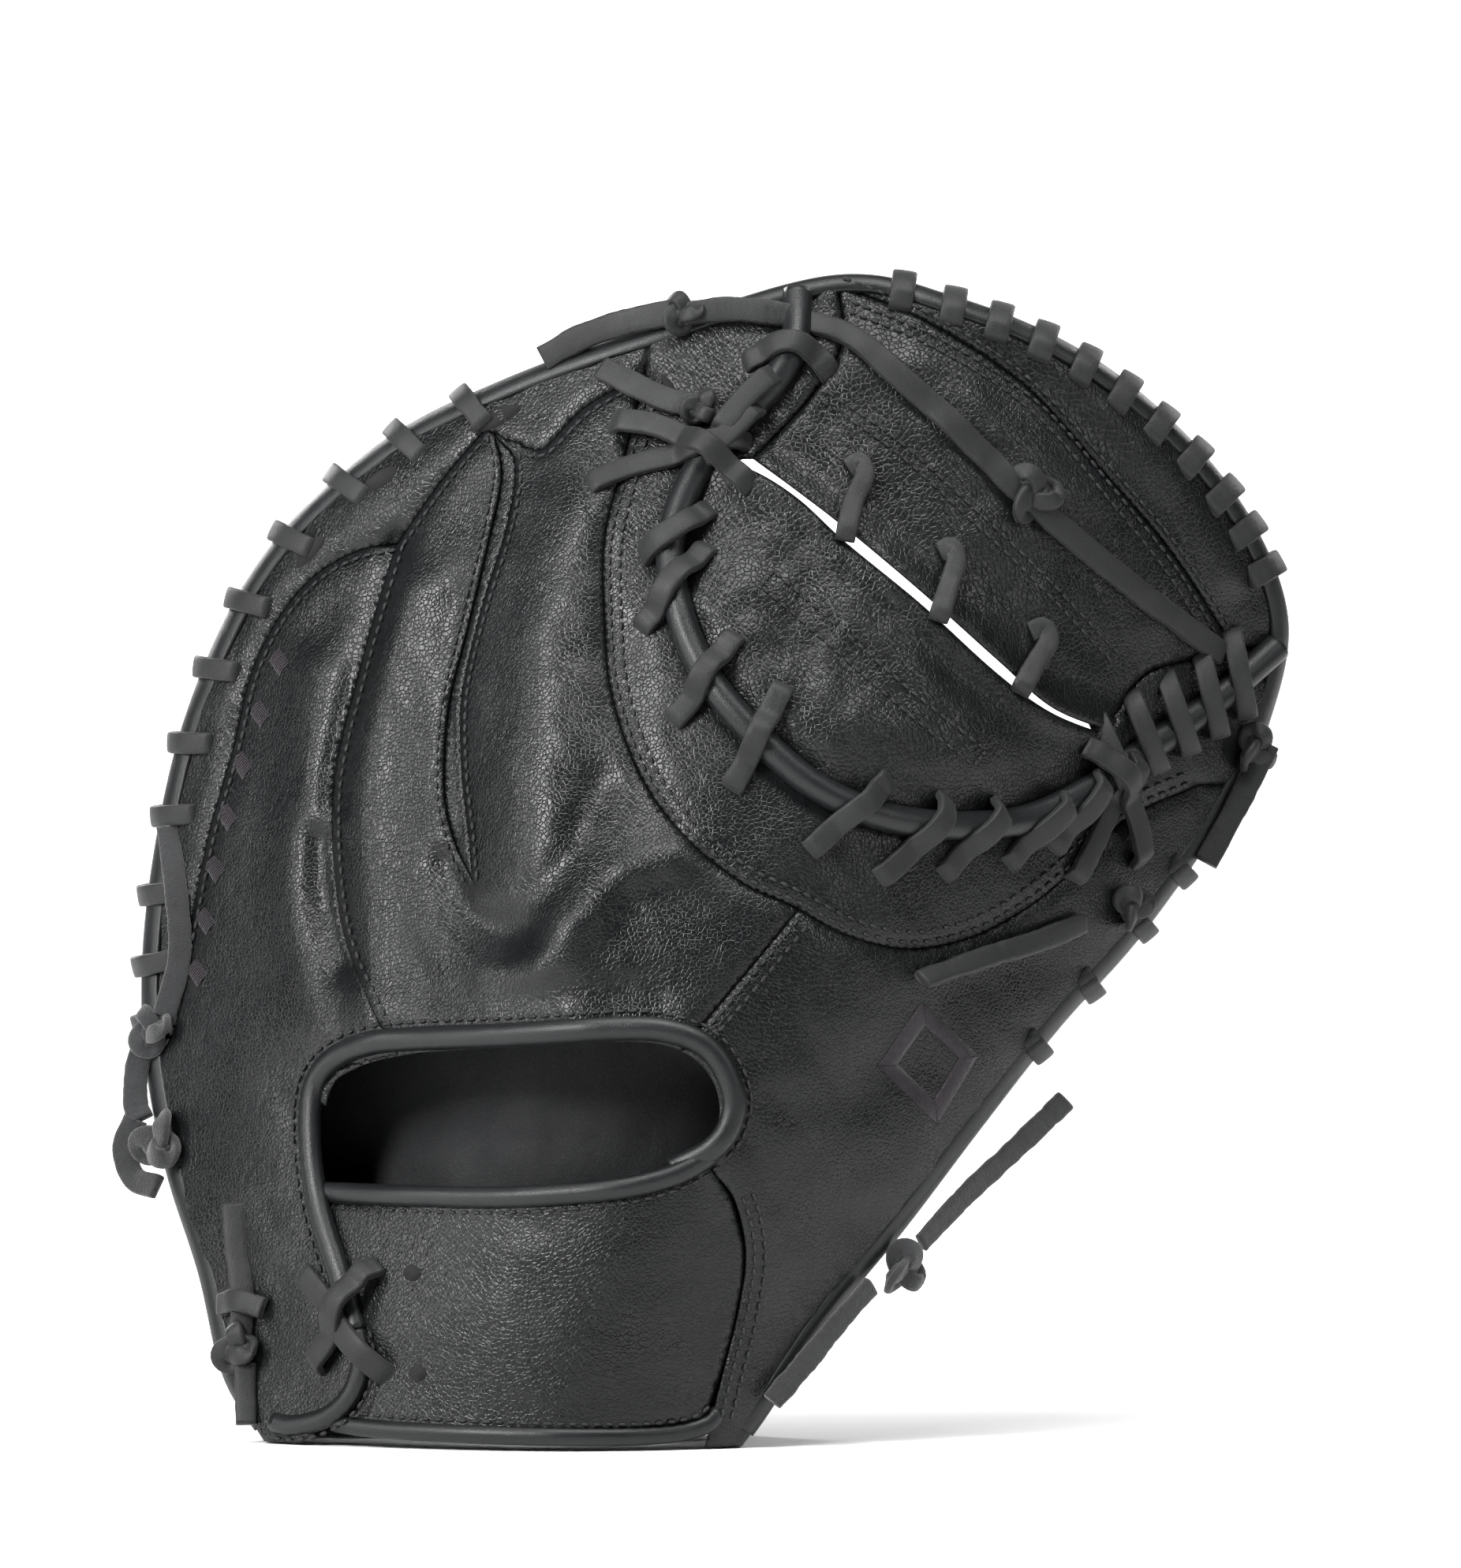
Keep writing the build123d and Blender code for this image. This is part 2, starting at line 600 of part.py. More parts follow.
save("upper_left_tie", tail([(-40, 290), (-25, 296), (-9, 301)]), knot(-2, 301, 5.5, 5.0))
save("lower_left_knot", knot(-120, 33, 6.5, 6.0), tail([(-121, 42), (-122, 52), (-121, 62)]))
left_loops = [
    edge_loop([(-151, 108), (-157, 102), (-158, 92), (-151, 86)], back_y(-150, 97) + 6),
    edge_loop([(-148, 84), (-155, 80), (-156, 71), (-147, 67)], back_y(-146, 76) + 6),
]
save("left_rim_knot", *left_loops)
save("right_tip_knot", knot(149, 184, 6.5, 6.0))
save("lower_x_knot", knot(113, 141, 5.5, 5.5))
save("heel_lace_knot", knot(53, 47, 6.5, 6.0))

# ------------------------------------------------------------- lace ends that lie free


def free_end(route, radii):
    """A lace end as a plain tube along straight runs and tangent arcs, just off the back."""
    points = []
    for x, z in route:
        slope_x = back_y(x + 0.5, z) - back_y(x - 0.5, z)
        slope_z = back_y(x, z + 0.5) - back_y(x, z - 0.5)
        clear = (LACE_WIDTH / 2 + 0.8) * math.sqrt(1 + slope_x**2 + slope_z**2)
        points.append((x, back_y(x, z) - clear, z))
    with BuildPart() as tube:
        with BuildLine() as path:
            FilletPolyline(*points, radius=radii)
        with BuildSketch(Plane(origin=path.line @ 0, z_dir=path.line % 0)):
            Circle(LACE_WIDTH / 2)
        sweep()
    length = sum(edge.length for edge in path.edges())
    section = math.pi * LACE_WIDTH**2 / 4
    print(f"  length {length:.1f} mm, volume over section times length "
          f"{tube.part.volume / section / length:.4f}, radii {radii}")
    return tube


save("long_tail", free_end([(104, 138), (91, 133), (78, 130), (60, 124)], [55, 70]))
save("heel_tail_up", free_end([(60, 53), (71, 65), (84, 76), (99, 90)], [90, 80]))
save("heel_tail_down", free_end([(46.5, 42), (38, 33), (29, 22), (20, 12)], [90, 90]))

# ------------------------------------------------------------- embroidery

DIAMOND = [(60, 118), (75, 103), (64, 85), (48, 101)]
emblem = difference(pattern(DIAMOND), pattern(inset(DIAMOND, 4.0)))
save("thumb_emblem", back_layer(emblem, -0.8, 0, THUMB_SIDE))
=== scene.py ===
"""Catcher's mitt: the looks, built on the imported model. Lengths in the code are in millimetres."""

import math

import bmesh
import bpy
import numpy as np
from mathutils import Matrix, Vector
from mathutils.geometry import delaunay_2d_cdt


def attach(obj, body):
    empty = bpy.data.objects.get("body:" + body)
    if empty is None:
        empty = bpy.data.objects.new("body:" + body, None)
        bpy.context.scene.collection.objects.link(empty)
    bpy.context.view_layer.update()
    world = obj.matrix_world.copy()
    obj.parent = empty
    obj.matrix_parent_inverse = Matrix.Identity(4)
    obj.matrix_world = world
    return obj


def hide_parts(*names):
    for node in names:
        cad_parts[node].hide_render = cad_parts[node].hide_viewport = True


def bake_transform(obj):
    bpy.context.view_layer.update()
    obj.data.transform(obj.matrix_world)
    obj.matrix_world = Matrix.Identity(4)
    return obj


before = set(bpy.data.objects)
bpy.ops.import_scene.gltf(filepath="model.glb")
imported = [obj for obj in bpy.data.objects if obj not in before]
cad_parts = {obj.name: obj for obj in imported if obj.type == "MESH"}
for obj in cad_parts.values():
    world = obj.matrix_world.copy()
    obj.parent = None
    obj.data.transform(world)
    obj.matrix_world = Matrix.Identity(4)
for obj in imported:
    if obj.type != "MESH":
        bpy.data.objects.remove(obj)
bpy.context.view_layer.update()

MM = 0.001
LACE_W, LACE_T = 6.3, 2.2  # the rawhide lace's section
LACE_STEP = 0.9  # between the sections of a modelled lace
BACK_LOW_Y = -75.5  # the lowest part of the bowl-shaped back
HEEL_FRONT_Y = 10.5  # the palm at the heel
FAR = 1e9  # a distance greater than any on the mitt
LATTICE_SIZE = 256
SEED = 7

# ------------------------------------------------------------- camera, floor and light

camera = bpy.data.objects.new("camera", bpy.data.cameras.new("camera"))
bpy.context.collection.objects.link(camera)
CAMERA_DISTANCE = 5.0
FRAME_HEIGHT = 0.4225  # what the frame shows at the mitt's distance
ELEVATION = math.radians(1.0)
LOOK_AT = Vector((0.0089, 0.0, 0.1755))
camera.location = LOOK_AT + CAMERA_DISTANCE * Vector((0, -math.cos(ELEVATION), math.sin(ELEVATION)))
camera.rotation_euler = (math.pi / 2 - ELEVATION, 0, 0)
camera.data.sensor_width = 36
camera.data.lens = 36 * CAMERA_DISTANCE / FRAME_HEIGHT
camera.data.clip_end = 50
bpy.context.scene.camera = camera


def plain_material(name, color, roughness):
    material = bpy.data.materials.new(name)
    material.use_nodes = True
    shader = material.node_tree.nodes["Principled BSDF"]
    shader.inputs["Base Color"].default_value = (*color, 1)
    shader.inputs["Roughness"].default_value = roughness
    return material


def pale_plane(name, size, location, rotation=(0, 0, 0), glow=0.0):
    """A plain white sheet of the studio, which may glow a little."""
    bpy.ops.mesh.primitive_plane_add(size=1, location=location, rotation=rotation)
    plane = bpy.context.object
    plane.name = name
    plane.scale = (*size, 1)
    white = plain_material(name, (0.92, 0.92, 0.92), 0.9)
    shader = white.node_tree.nodes["Principled BSDF"]
    shader.inputs["Emission Color"].default_value = (1, 1, 1, 1)
    shader.inputs["Emission Strength"].default_value = glow
    plane.data.materials.append(white)


pale_plane("floor", (30, 30), (0, -6, -0.0006))
pale_plane("floor_behind", (16, 8.4), (0, 4.8, -0.0004), glow=0.85)
pale_plane("backdrop", (16, 8), (0, 9, 3.9), (math.pi / 2, 0, 0), 1.0)


def area_light(name, location, target, size, power):
    light = bpy.data.lights.new(name, "AREA")
    light.shape = "RECTANGLE"
    light.size, light.size_y = size
    light.energy = power
    lamp = bpy.data.objects.new(name, light)
    lamp.location = location
    lamp.rotation_euler = (Vector(target) - Vector(location)).to_track_quat("-Z", "Y").to_euler()
    bpy.context.collection.objects.link(lamp)


MIDDLE = (0, 0, 0.16)
area_light("key_left", (-1.0, -1.15, 1.0), MIDDLE, (0.4, 0.7), 36)
area_light("left_side", (-1.4, -0.4, 0.5), MIDDLE, (0.3, 1.1), 9)
area_light("top", (0.15, -0.55, 1.45), MIDDLE, (0.9, 0.3), 14)
area_light("right", (1.25, -0.8, 0.9), MIDDLE, (0.25, 0.9), 5)
area_light("back_left", (-1.0, 1.5, 1.0), MIDDLE, (0.5, 0.8), 18)
area_light("back_right", (1.2, 1.3, 1.2), MIDDLE, (0.5, 0.8), 12)
area_light("ground", (0, -0.2, 2.4), (0, 0.2, 0), (1.6, 1.2), 22)
world = bpy.data.worlds.new("studio")
world.use_nodes = True
world.node_tree.nodes["Background"].inputs[0].default_value = (1, 1, 1, 1)
world.node_tree.nodes["Background"].inputs[1].default_value = 0.03
bpy.context.scene.world = world
bpy.context.scene.view_settings.view_transform = "Standard"

# ------------------------------------------------------------- lines and noise


def smooth_line(points, step=1.2, closed=False):
    """Catmull-Rom line through points, sampled evenly."""
    p = np.array(points, float)
    if closed:
        p = np.vstack([p[-1], p, p[0], p[1]])
    else:
        p = np.vstack([2 * p[0] - p[1], p, 2 * p[-1] - p[-2]])
    t = np.linspace(0, 1, 24, endpoint=False)[:, None]
    rows = []
    for a, b, c, d in zip(p, p[1:], p[2:], p[3:]):
        cubic = (3 * b - 3 * c + d - a) * t**3 + (2 * a - 5 * b + 4 * c - d) * t**2
        rows.append(0.5 * (2 * b + (c - a) * t + cubic))
    rows.append(p[-2][None, :])
    return even(np.vstack(rows), step)


def even(line, step):
    """The same line with points a constant distance apart."""
    line = np.asarray(line, float)
    run = np.concatenate([[0], np.cumsum(np.linalg.norm(np.diff(line, axis=0), axis=1))])
    keep = np.concatenate([[True], np.diff(run) > 1e-9])
    line, run = line[keep], run[keep]
    count = max(2, int(round(run[-1] / step)) + 1)
    s = np.linspace(0, run[-1], count)
    return np.stack([np.interp(s, run, line[:, i]) for i in range(line.shape[1])], axis=1)


def line_normals(line):
    """Unit normals to the left of a 2-D line."""
    d = np.gradient(line, axis=0)
    d /= np.linalg.norm(d, axis=1)[:, None] + 1e-12
    return np.stack([-d[:, 1], d[:, 0]], axis=1)


def distance(x, z, line, closed=False):
    """Distance from many points to a polyline."""
    p = np.asarray(line, float)
    if closed:
        p = np.vstack([p, p[:1]])
    a, d = p[:-1], np.diff(p, axis=0)
    length2 = (d**2).sum(1) + 1e-12
    out = np.full(x.shape, FAR)
    for start in range(0, len(x), 4000):
        xs, zs = x[start : start + 4000, None], z[start : start + 4000, None]
        u, v = xs - a[:, 0], zs - a[:, 1]
        t = np.clip((u * d[:, 0] + v * d[:, 1]) / length2, 0, 1)
        gap = np.hypot(u - t * d[:, 0], v - t * d[:, 1])
        out[start : start + 4000] = gap.min(1)
    return out


def inside(x, z, edge):
    """Whether many points are inside a closed polyline."""
    edge = np.asarray(edge, float)
    a, b = edge, np.roll(edge, -1, axis=0)
    result = np.zeros(x.shape, bool)
    for (ax, az), (bx, bz) in zip(a, b):
        if az != bz:
            result ^= ((az > z) != (bz > z)) & (x < ax + (z - az) * (bx - ax) / (bz - az))
    return result


def step(value):
    """A smooth step from 0 to 1."""
    value = np.clip(value, 0.0, 1.0)
    return value * value * (3 - 2 * value)


LATTICE = np.random.default_rng(SEED).random((LATTICE_SIZE, LATTICE_SIZE))


def noise(x, z, scale, seed=0):
    """Smooth noise from -1 to 1 with features about scale wide."""
    u, v = x / scale + 37.7 * seed, z / scale + 91.3 * seed
    i, j = np.floor(u).astype(int), np.floor(v).astype(int)
    fu, fv = step(u - i), step(v - j)
    i, j, right, up = (k % LATTICE_SIZE for k in (i, j, i + 1, j + 1))
    a = LATTICE[i, j] * (1 - fu) + LATTICE[right, j] * fu
    b = LATTICE[i, up] * (1 - fu) + LATTICE[right, up] * fu
    return 2 * (a * (1 - fv) + b * fv) - 1


# ------------------------------------------------------------- the mitt's curved faces

FOLD_FOOT = (3.0, 4.0)
FOLD_RISE = (0.2726, 0.9621)
OUTLINE = [
    (-116, 0), (-127, 17), (-134, 44), (-144, 74), (-150, 110), (-148, 150), (-138, 195),
    (-118, 236), (-87, 266), (-52, 284), (-12, 298), (37, 312), (70, 306), (103, 292), (130, 271),
    (150, 246), (160, 219), (155, 192), (143, 167), (120, 135), (97, 110), (76, 84), (55, 57),
    (35, 33), (18, 8), (12, 0),
]  # fmt: skip
POCKET = [(34, 148), (60, 190), (104, 240)]


def across_fold(x, z):
    """Distance from the fold line, positive on the thumb side."""
    return (x - FOLD_FOOT[0]) * FOLD_RISE[1] - (z - FOLD_FOOT[1]) * FOLD_RISE[0]


def along_fold(x, z):
    """Distance up the fold line from its foot."""
    return (x - FOLD_FOOT[0]) * FOLD_RISE[0] + (z - FOLD_FOOT[1]) * FOLD_RISE[1]


def back_y(x, z):
    """Y of the back's outer face in the CAD model."""
    s, t = across_fold(x, z), along_fold(x, z)
    side = np.abs(s + 35) / np.where(s < -35, 147.0, 130.0)
    rise = np.maximum(0.0, t - 40) / 340.0
    r2 = (side**2.5 + rise**2.5) ** 0.8
    return BACK_LOW_Y + 176.0 * r2 / (1 + 0.6 * r2)


def palm_y(x, z):
    """Y of the palm's outer face in the CAD model."""
    edge = distance(x, z, OUTLINE)
    edge = np.where(inside(x, z, OUTLINE), edge, 0)
    thick = 30 + 26 * step(edge / 40)
    thick = thick + (9 - thick) * (1 - step((distance(x, z, POCKET) - 20) / 40))
    palm = back_y(x, z) + thick
    return palm + (HEEL_FRONT_Y - palm) * (1 - step(z / 80))


RIM = smooth_line(OUTLINE)
WELT = smooth_line([
    (27, 308), (26, 294), (20, 283), (10, 272), (-1, 258), (-7, 240), (-4, 220), (4, 203),
    (17, 188), (31, 176), (48, 168), (67, 165), (86, 166), (101, 172), (115, 181), (129, 190),
    (143, 200), (157, 212),
])  # fmt: skip
LOWER_WEB_TOP = smooth_line([
    (4, 263), (15, 260), (27, 252.5), (40, 240.6), (60, 224.2), (80, 206), (95, 195), (112, 188),
])  # fmt: skip
UPPER_WEB_FOOT = smooth_line([
    (15, 263), (27, 254.2), (40.6, 243.7), (60, 227.4), (81, 208.6), (95, 196.4), (111, 189.5),
])  # fmt: skip
UPPER_WEB_LEFT = smooth_line([(38, 310), (39, 294), (30, 279), (17, 265)])
UPPER_WEB_RIGHT = smooth_line([(113, 195), (121, 205), (134, 209), (146, 211)])
WEB_SEAM = smooth_line([(38, 310), (62, 300), (88, 283), (110, 259), (128, 238), (146, 211)])
SEAM_CRESCENT = smooth_line([
    (-14, 286), (-20, 262), (-25, 242), (-25, 221), (-23, 200), (-15, 178), (-3, 162), (12, 150),
    (25, 144), (40, 136), (57, 132), (74, 135), (88, 142), (101, 152), (116, 166), (134, 174),
])  # fmt: skip
RIM_SEAM = smooth_line([
    (-160, 92), (-146, 104), (-141, 119), (-137, 138), (-132, 162), (-126, 183), (-121, 204),
    (-114, 219), (-104, 231), (-92, 238), (-81, 240),
])  # fmt: skip
RIM_SEAM_TOP = smooth_line([(-81, 240), (-69, 257), (-57, 271)])
INDEX_TOP = smooth_line([(-46, 266), (-41, 266), (-30, 277), (-14, 286)])
STRIP = smooth_line([
    (-54, 269), (-49, 262), (-51, 245), (-58, 222), (-63, 200), (-63, 180), (-61, 162), (-60, 150),
])  # fmt: skip
STRIP_LEFT = smooth_line([
    (-55, 270), (-53, 258), (-57, 238), (-62, 217), (-67, 196), (-68, 174), (-65, 160), (-60, 150),
])  # fmt: skip
VALLEY = smooth_line([(-81, 241), (-91, 206), (-98, 174), (-96, 140), (-88, 118), (-80, 104)])
OPENING = smooth_line([
    (-99, 92), (-91, 100), (-76, 104), (-52, 106), (-24, 108), (-8, 107), (2, 101), (6, 91),
    (3, 80), (-6, 73), (-24, 69), (-52, 67), (-80, 66), (-99, 70),
], closed=True)  # fmt: skip
SEAM_INDEX_FOOT = smooth_line([(26, 142), (16, 130), (0, 111), (-6, 103)])
FLAP_EDGE = smooth_line([
    (-103, 94), (-105, 79), (-102, 64), (-96, 48), (-91, 34), (-89, 21), (-95, 9), (-106, 0),
])  # fmt: skip
STRAP_SEAM = smooth_line([(4, 74), (10, 66), (13, 52), (11, 36), (7, 20), (2, 0)])

# Creases sink the skin along seams, and ridges raise it: (line, depth, half width)
CREASES = [
    (VALLEY[:62], 3.6, 4.0), (SEAM_CRESCENT, 1.2, 2.6), (RIM_SEAM, 1.4, 3.0), (RIM_SEAM_TOP, 1.4, 3.0),
    (INDEX_TOP, 1.0, 2.6), (SEAM_INDEX_FOOT, 0.9, 2.2), (STRAP_SEAM, 0.8, 2.2), (WELT, 1.5, 5.0),
    (smooth_line([(-101, 160), (-100, 145), (-95, 128)]), 5.0, 5.0),
    (smooth_line([(-66, 154), (-62, 143), (-52, 136), (-47, 135)]), 5.2, 6.0),
    (smooth_line([(-64, 225), (-66, 195), (-64, 165)]), 2.6, 5.0),
    (smooth_line([(-26, 176), (-34, 158), (-47, 140)]), 2.6, 6.0),
    (smooth_line([(-22, 210), (-20, 185), (-8, 166)]), 1.6, 9.0),
    (smooth_line([(-70, 118), (-40, 120), (-12, 122)]), 1.2, 6.0),
    (smooth_line([(45, 95), (70, 118), (92, 128)]), 1.2, 10.0),
]  # fmt: skip
RIDGES = [
    (smooth_line([(-88, 112), (-89, 142), (-90, 174), (-86, 200), (-78, 228)]), 3.6, 8.0),
    (smooth_line([(-103, 112), (-108, 142), (-105, 175), (-104, 205)]), 4.2, 9.0),
    (smooth_line([(-118, 60), (-120, 110), (-124, 160)]), 2.5, 14.0),
    (smooth_line([(-38, 128), (-40, 150), (-44, 178), (-42, 212), (-34, 248)]), 4.2, 12.0),
    (smooth_line([(-41, 133), (-30, 143), (-20, 153), (-8, 158)]), 3.2, 7.0),
    (smooth_line([(-56, 124), (-46, 128)]), 2.2, 7.0),
    (smooth_line([(-88, 117), (-60, 114), (-30, 116)]), 1.4, 6.0),
    (smooth_line([(10, 225), (24, 202), (58, 186), (95, 184)]), 4.5, 12.0),
    (smooth_line([(40, 222), (58, 206), (76, 192)]), 2.6, 9.0),
    (smooth_line([(24, 290), (60, 285), (100, 258), (128, 222)]), 2.4, 10.0),
    (smooth_line([(60, 304), (96, 290), (124, 262), (144, 232)]), 2.6, 6.0),
    (smooth_line([(-128, 200), (-112, 228), (-90, 250), (-60, 268)]), 2.0, 8.0),
    (smooth_line([(55, 70), (80, 105), (110, 145)]), 3.0, 16.0),
    (smooth_line([(-70, 52), (-30, 54), (0, 56)]), 2.6, 11.0),
]


def smooth_skin(x, z):
    """Y of the visible back without its small creases."""
    y = back_y(x, z)
    for line, height, width in RIDGES:
        y = y - height * np.exp(-((distance(x, z, line) / width) ** 2))
    return y


def skin(x, z):
    """Y of the visible back: padding, seams and soft wrinkles."""
    y = smooth_skin(x, z)
    for line, depth, width in CREASES:
        y = y + depth * np.exp(-((distance(x, z, line) / width) ** 2))
    wave = 0.45 * noise(x, z, 17, 1) + 0.25 * noise(x, z, 8, 2)
    pull = 0.22 * noise(x + 0.5 * z, z * 0.35, 5, 3)
    return y + wave + pull


def at_surface(points, height, face=smooth_skin, outward=-1):
    """3-D points at a height above a curved face, and the face's normals there."""
    p = np.asarray(points, float)
    x, z = p[:, 0], p[:, 1]
    h = 0.6
    gx = (face(x + h, z) - face(x - h, z)) / (2 * h)
    gz = (face(x, z + h) - face(x, z - h)) / (2 * h)
    n = np.stack([-outward * gx, np.full(len(x), float(outward)), -outward * gz], axis=1)
    n /= np.linalg.norm(n, axis=1)[:, None]
    base = np.stack([x, face(x, z), z], axis=1)
    return base + n * np.reshape(height, (-1, 1)), n


# ------------------------------------------------------------- mesh making


def make_object(name, verts, faces, material):
    """A smooth-shaded object from a closed shell in millimetres."""
    mesh = bpy.data.meshes.new(name)
    mesh.from_pydata((np.asarray(verts) * MM).tolist(), [], [list(map(int, f)) for f in faces])
    mesh.update()
    bm = bmesh.new()
    bm.from_mesh(mesh)
    bmesh.ops.recalc_face_normals(bm, faces=bm.faces)
    bm.to_mesh(mesh)
    bm.free()
    mesh.polygons.foreach_set("use_smooth", [True] * len(mesh.polygons))
    mesh.materials.append(material)
    obj = bpy.data.objects.new(name, mesh)
    bpy.context.collection.objects.link(obj)
    return obj


class Shape:
    """Collects several closed shells into one mesh."""

    def __init__(self):
        self.verts, self.faces, self.count = [], [], 0

    def add(self, verts, faces):
        self.faces += [[i + self.count for i in f] for f in faces]
        self.verts.append(np.asarray(verts, float))
        self.count += len(verts)

    def make(self, name, material):
        return make_object(name, np.vstack(self.verts), self.faces, material)


def frames(path, up=None, closed=False):
    """Tangent, side and up vectors along a path."""
    if closed:
        t = np.roll(path, -1, axis=0) - np.roll(path, 1, axis=0)
    else:
        t = np.gradient(path, axis=0)
    t /= np.linalg.norm(t, axis=1)[:, None] + 1e-12
    if up is None:
        u = np.zeros_like(path)
        v = np.cross(t[0], [0.3, 0.5, 0.81])
        for i in range(len(path)):
            v = v - t[i] * (v @ t[i])
            v /= np.linalg.norm(v) + 1e-12
            u[i] = v
        up = u
    side = np.cross(t, up)
    side /= np.linalg.norm(side, axis=1)[:, None] + 1e-12
    return t, side, np.cross(side, t)


def sweep(path, profile, up=None, closed=False, scale=None):
    """Closed shell of a profile carried along a path. Profiles are (side, up) offsets."""
    path = np.asarray(path, float)
    profile = np.asarray(profile, float)
    _, side, top = frames(path, up, closed)
    n, m = len(path), len(profile)
    scale = np.ones(n) if scale is None else scale
    ring = profile[None, :, :] * scale[:, None, None]
    verts = path[:, None, :] + ring[:, :, :1] * side[:, None, :] + ring[:, :, 1:] * top[:, None, :]
    verts = verts.reshape(-1, 3)
    faces = []
    for i in range(n if closed else n - 1):
        a, b = i * m, ((i + 1) % n) * m
        faces += [[a + j, a + (j + 1) % m, b + (j + 1) % m, b + j] for j in range(m)]
    if not closed:
        faces += [list(range(m - 1, -1, -1)), [(n - 1) * m + j for j in range(m)]]
    return verts, faces


def round_profile(radius, sides=12, flat=1.0):
    a = np.arange(sides) * 2 * math.pi / sides
    return np.stack([radius * np.cos(a), radius * flat * np.sin(a)], axis=1)


def strap_profile(width=LACE_W, thick=LACE_T, corner=0.55):
    """Rounded flat section, with a slightly crowned top."""
    w, t, c = width / 2, thick / 2, corner
    near_w, near_t, crown = w - 0.3 * c, t - 0.3 * c, 0.12
    right = [(w - c, -t), (near_w, -near_t), (w, -t + c), (w, t - c), (near_w, near_t)]
    top = [(w - c, t), (w * 0.4, t + crown), (-w * 0.4, t + crown), (-w + c, t)]
    left = [(-near_w, near_t), (-w, t - c), (-w, -t + c), (-near_w, -near_t), (-w + c, -t)]
    return np.array(right + top + left + [(0, -t)])


def waver(count, amount, size, seed, row=0.0, spacing=LACE_STEP):
    """Uneven width along a lace, as a share of it."""
    s = np.arange(count) * spacing
    return amount * noise(s, s * 0 + row, size, seed)


def heaped(line, piping, least, base, radius, extra, depth):
    """Heights that carry a lace over a round piping and sink its two ends."""
    gap = distance(line[:, 0], line[:, 1], piping)
    height = np.maximum(least, base + np.sqrt(np.maximum(0, radius**2 - gap**2)))
    kernel = np.hanning(9) / np.hanning(9).sum()
    height = np.convolve(np.pad(height, 4, mode="edge"), kernel, mode="valid")
    s = np.arange(len(line)) * LACE_STEP
    return height + extra - depth * (1 - step(np.minimum(s, s[::-1]) / 3.0))


STITCH = []
for ring_at, ring_r in ((-0.5, 0.02), (-0.42, 0.6), (-0.2, 1.0), (0.2, 1.0), (0.42, 0.6), (0.5, 0.02)):
    for k in range(6):
        STITCH.append((ring_at, ring_r * math.cos(k * math.pi / 3), ring_r * math.sin(k * math.pi / 3)))
STITCH = np.array(STITCH)
STITCH_FACES = [[6 * i + j, 6 * i + (j + 1) % 6, 6 * i + 6 + (j + 1) % 6, 6 * i + 6 + j]
                for i in range(5) for j in range(6)]
STITCH_FACES += [[5, 4, 3, 2, 1, 0], [30, 31, 32, 33, 34, 35]]


def stitches(shape, line, side=0.0, face=skin, height=0.15, outward=-1, pitch=3.3, length=2.5, thick=0.55):
    """A row of thread stitches along a line, shifted sideways, added to a shape."""
    line = np.asarray(line, float)
    path = even(line + side * line_normals(line), pitch)
    if len(path) < 3:
        return
    middle = (path[1:] + path[:-1]) / 2
    spot, normal = at_surface(middle, height, face, outward)
    ends, _ = at_surface(path, height, face, outward)
    t = np.diff(ends, axis=0)
    t /= np.linalg.norm(t, axis=1)[:, None]
    b = np.cross(t, normal)
    for p, tt, nn, bb in zip(spot, t, normal, b):
        verts = p + STITCH[:, :1] * length * tt + STITCH[:, 1:2] * thick * bb + STITCH[:, 2:] * thick * nn
        shape.add(verts, STITCH_FACES)


# ------------------------------------------------------------- materials


def mix_noise(nodes, links, coords, scale, detail=3.0, roughness=0.55):
    texture = nodes.new("ShaderNodeTexNoise")
    texture.inputs["Scale"].default_value = scale
    texture.inputs["Detail"].default_value = detail
    texture.inputs["Roughness"].default_value = roughness
    links.new(coords, texture.inputs["Vector"])
    return texture.outputs["Fac"]


def ramp(nodes, links, value, stops):
    node = nodes.new("ShaderNodeValToRGB")
    elements = node.color_ramp.elements
    while len(elements) < len(stops):
        elements.new(0.5)
    for element, (position, color) in zip(elements, stops):
        element.position = position
        element.color = (*color, 1)
    links.new(value, node.inputs["Fac"])
    return node.outputs["Color"]


def bump(nodes, links, height, strength, depth, below=None):
    node = nodes.new("ShaderNodeBump")
    node.inputs["Strength"].default_value = strength
    node.inputs["Distance"].default_value = depth
    links.new(height, node.inputs["Height"])
    if below is not None:
        links.new(below, node.inputs["Normal"])
    return node.outputs["Normal"]


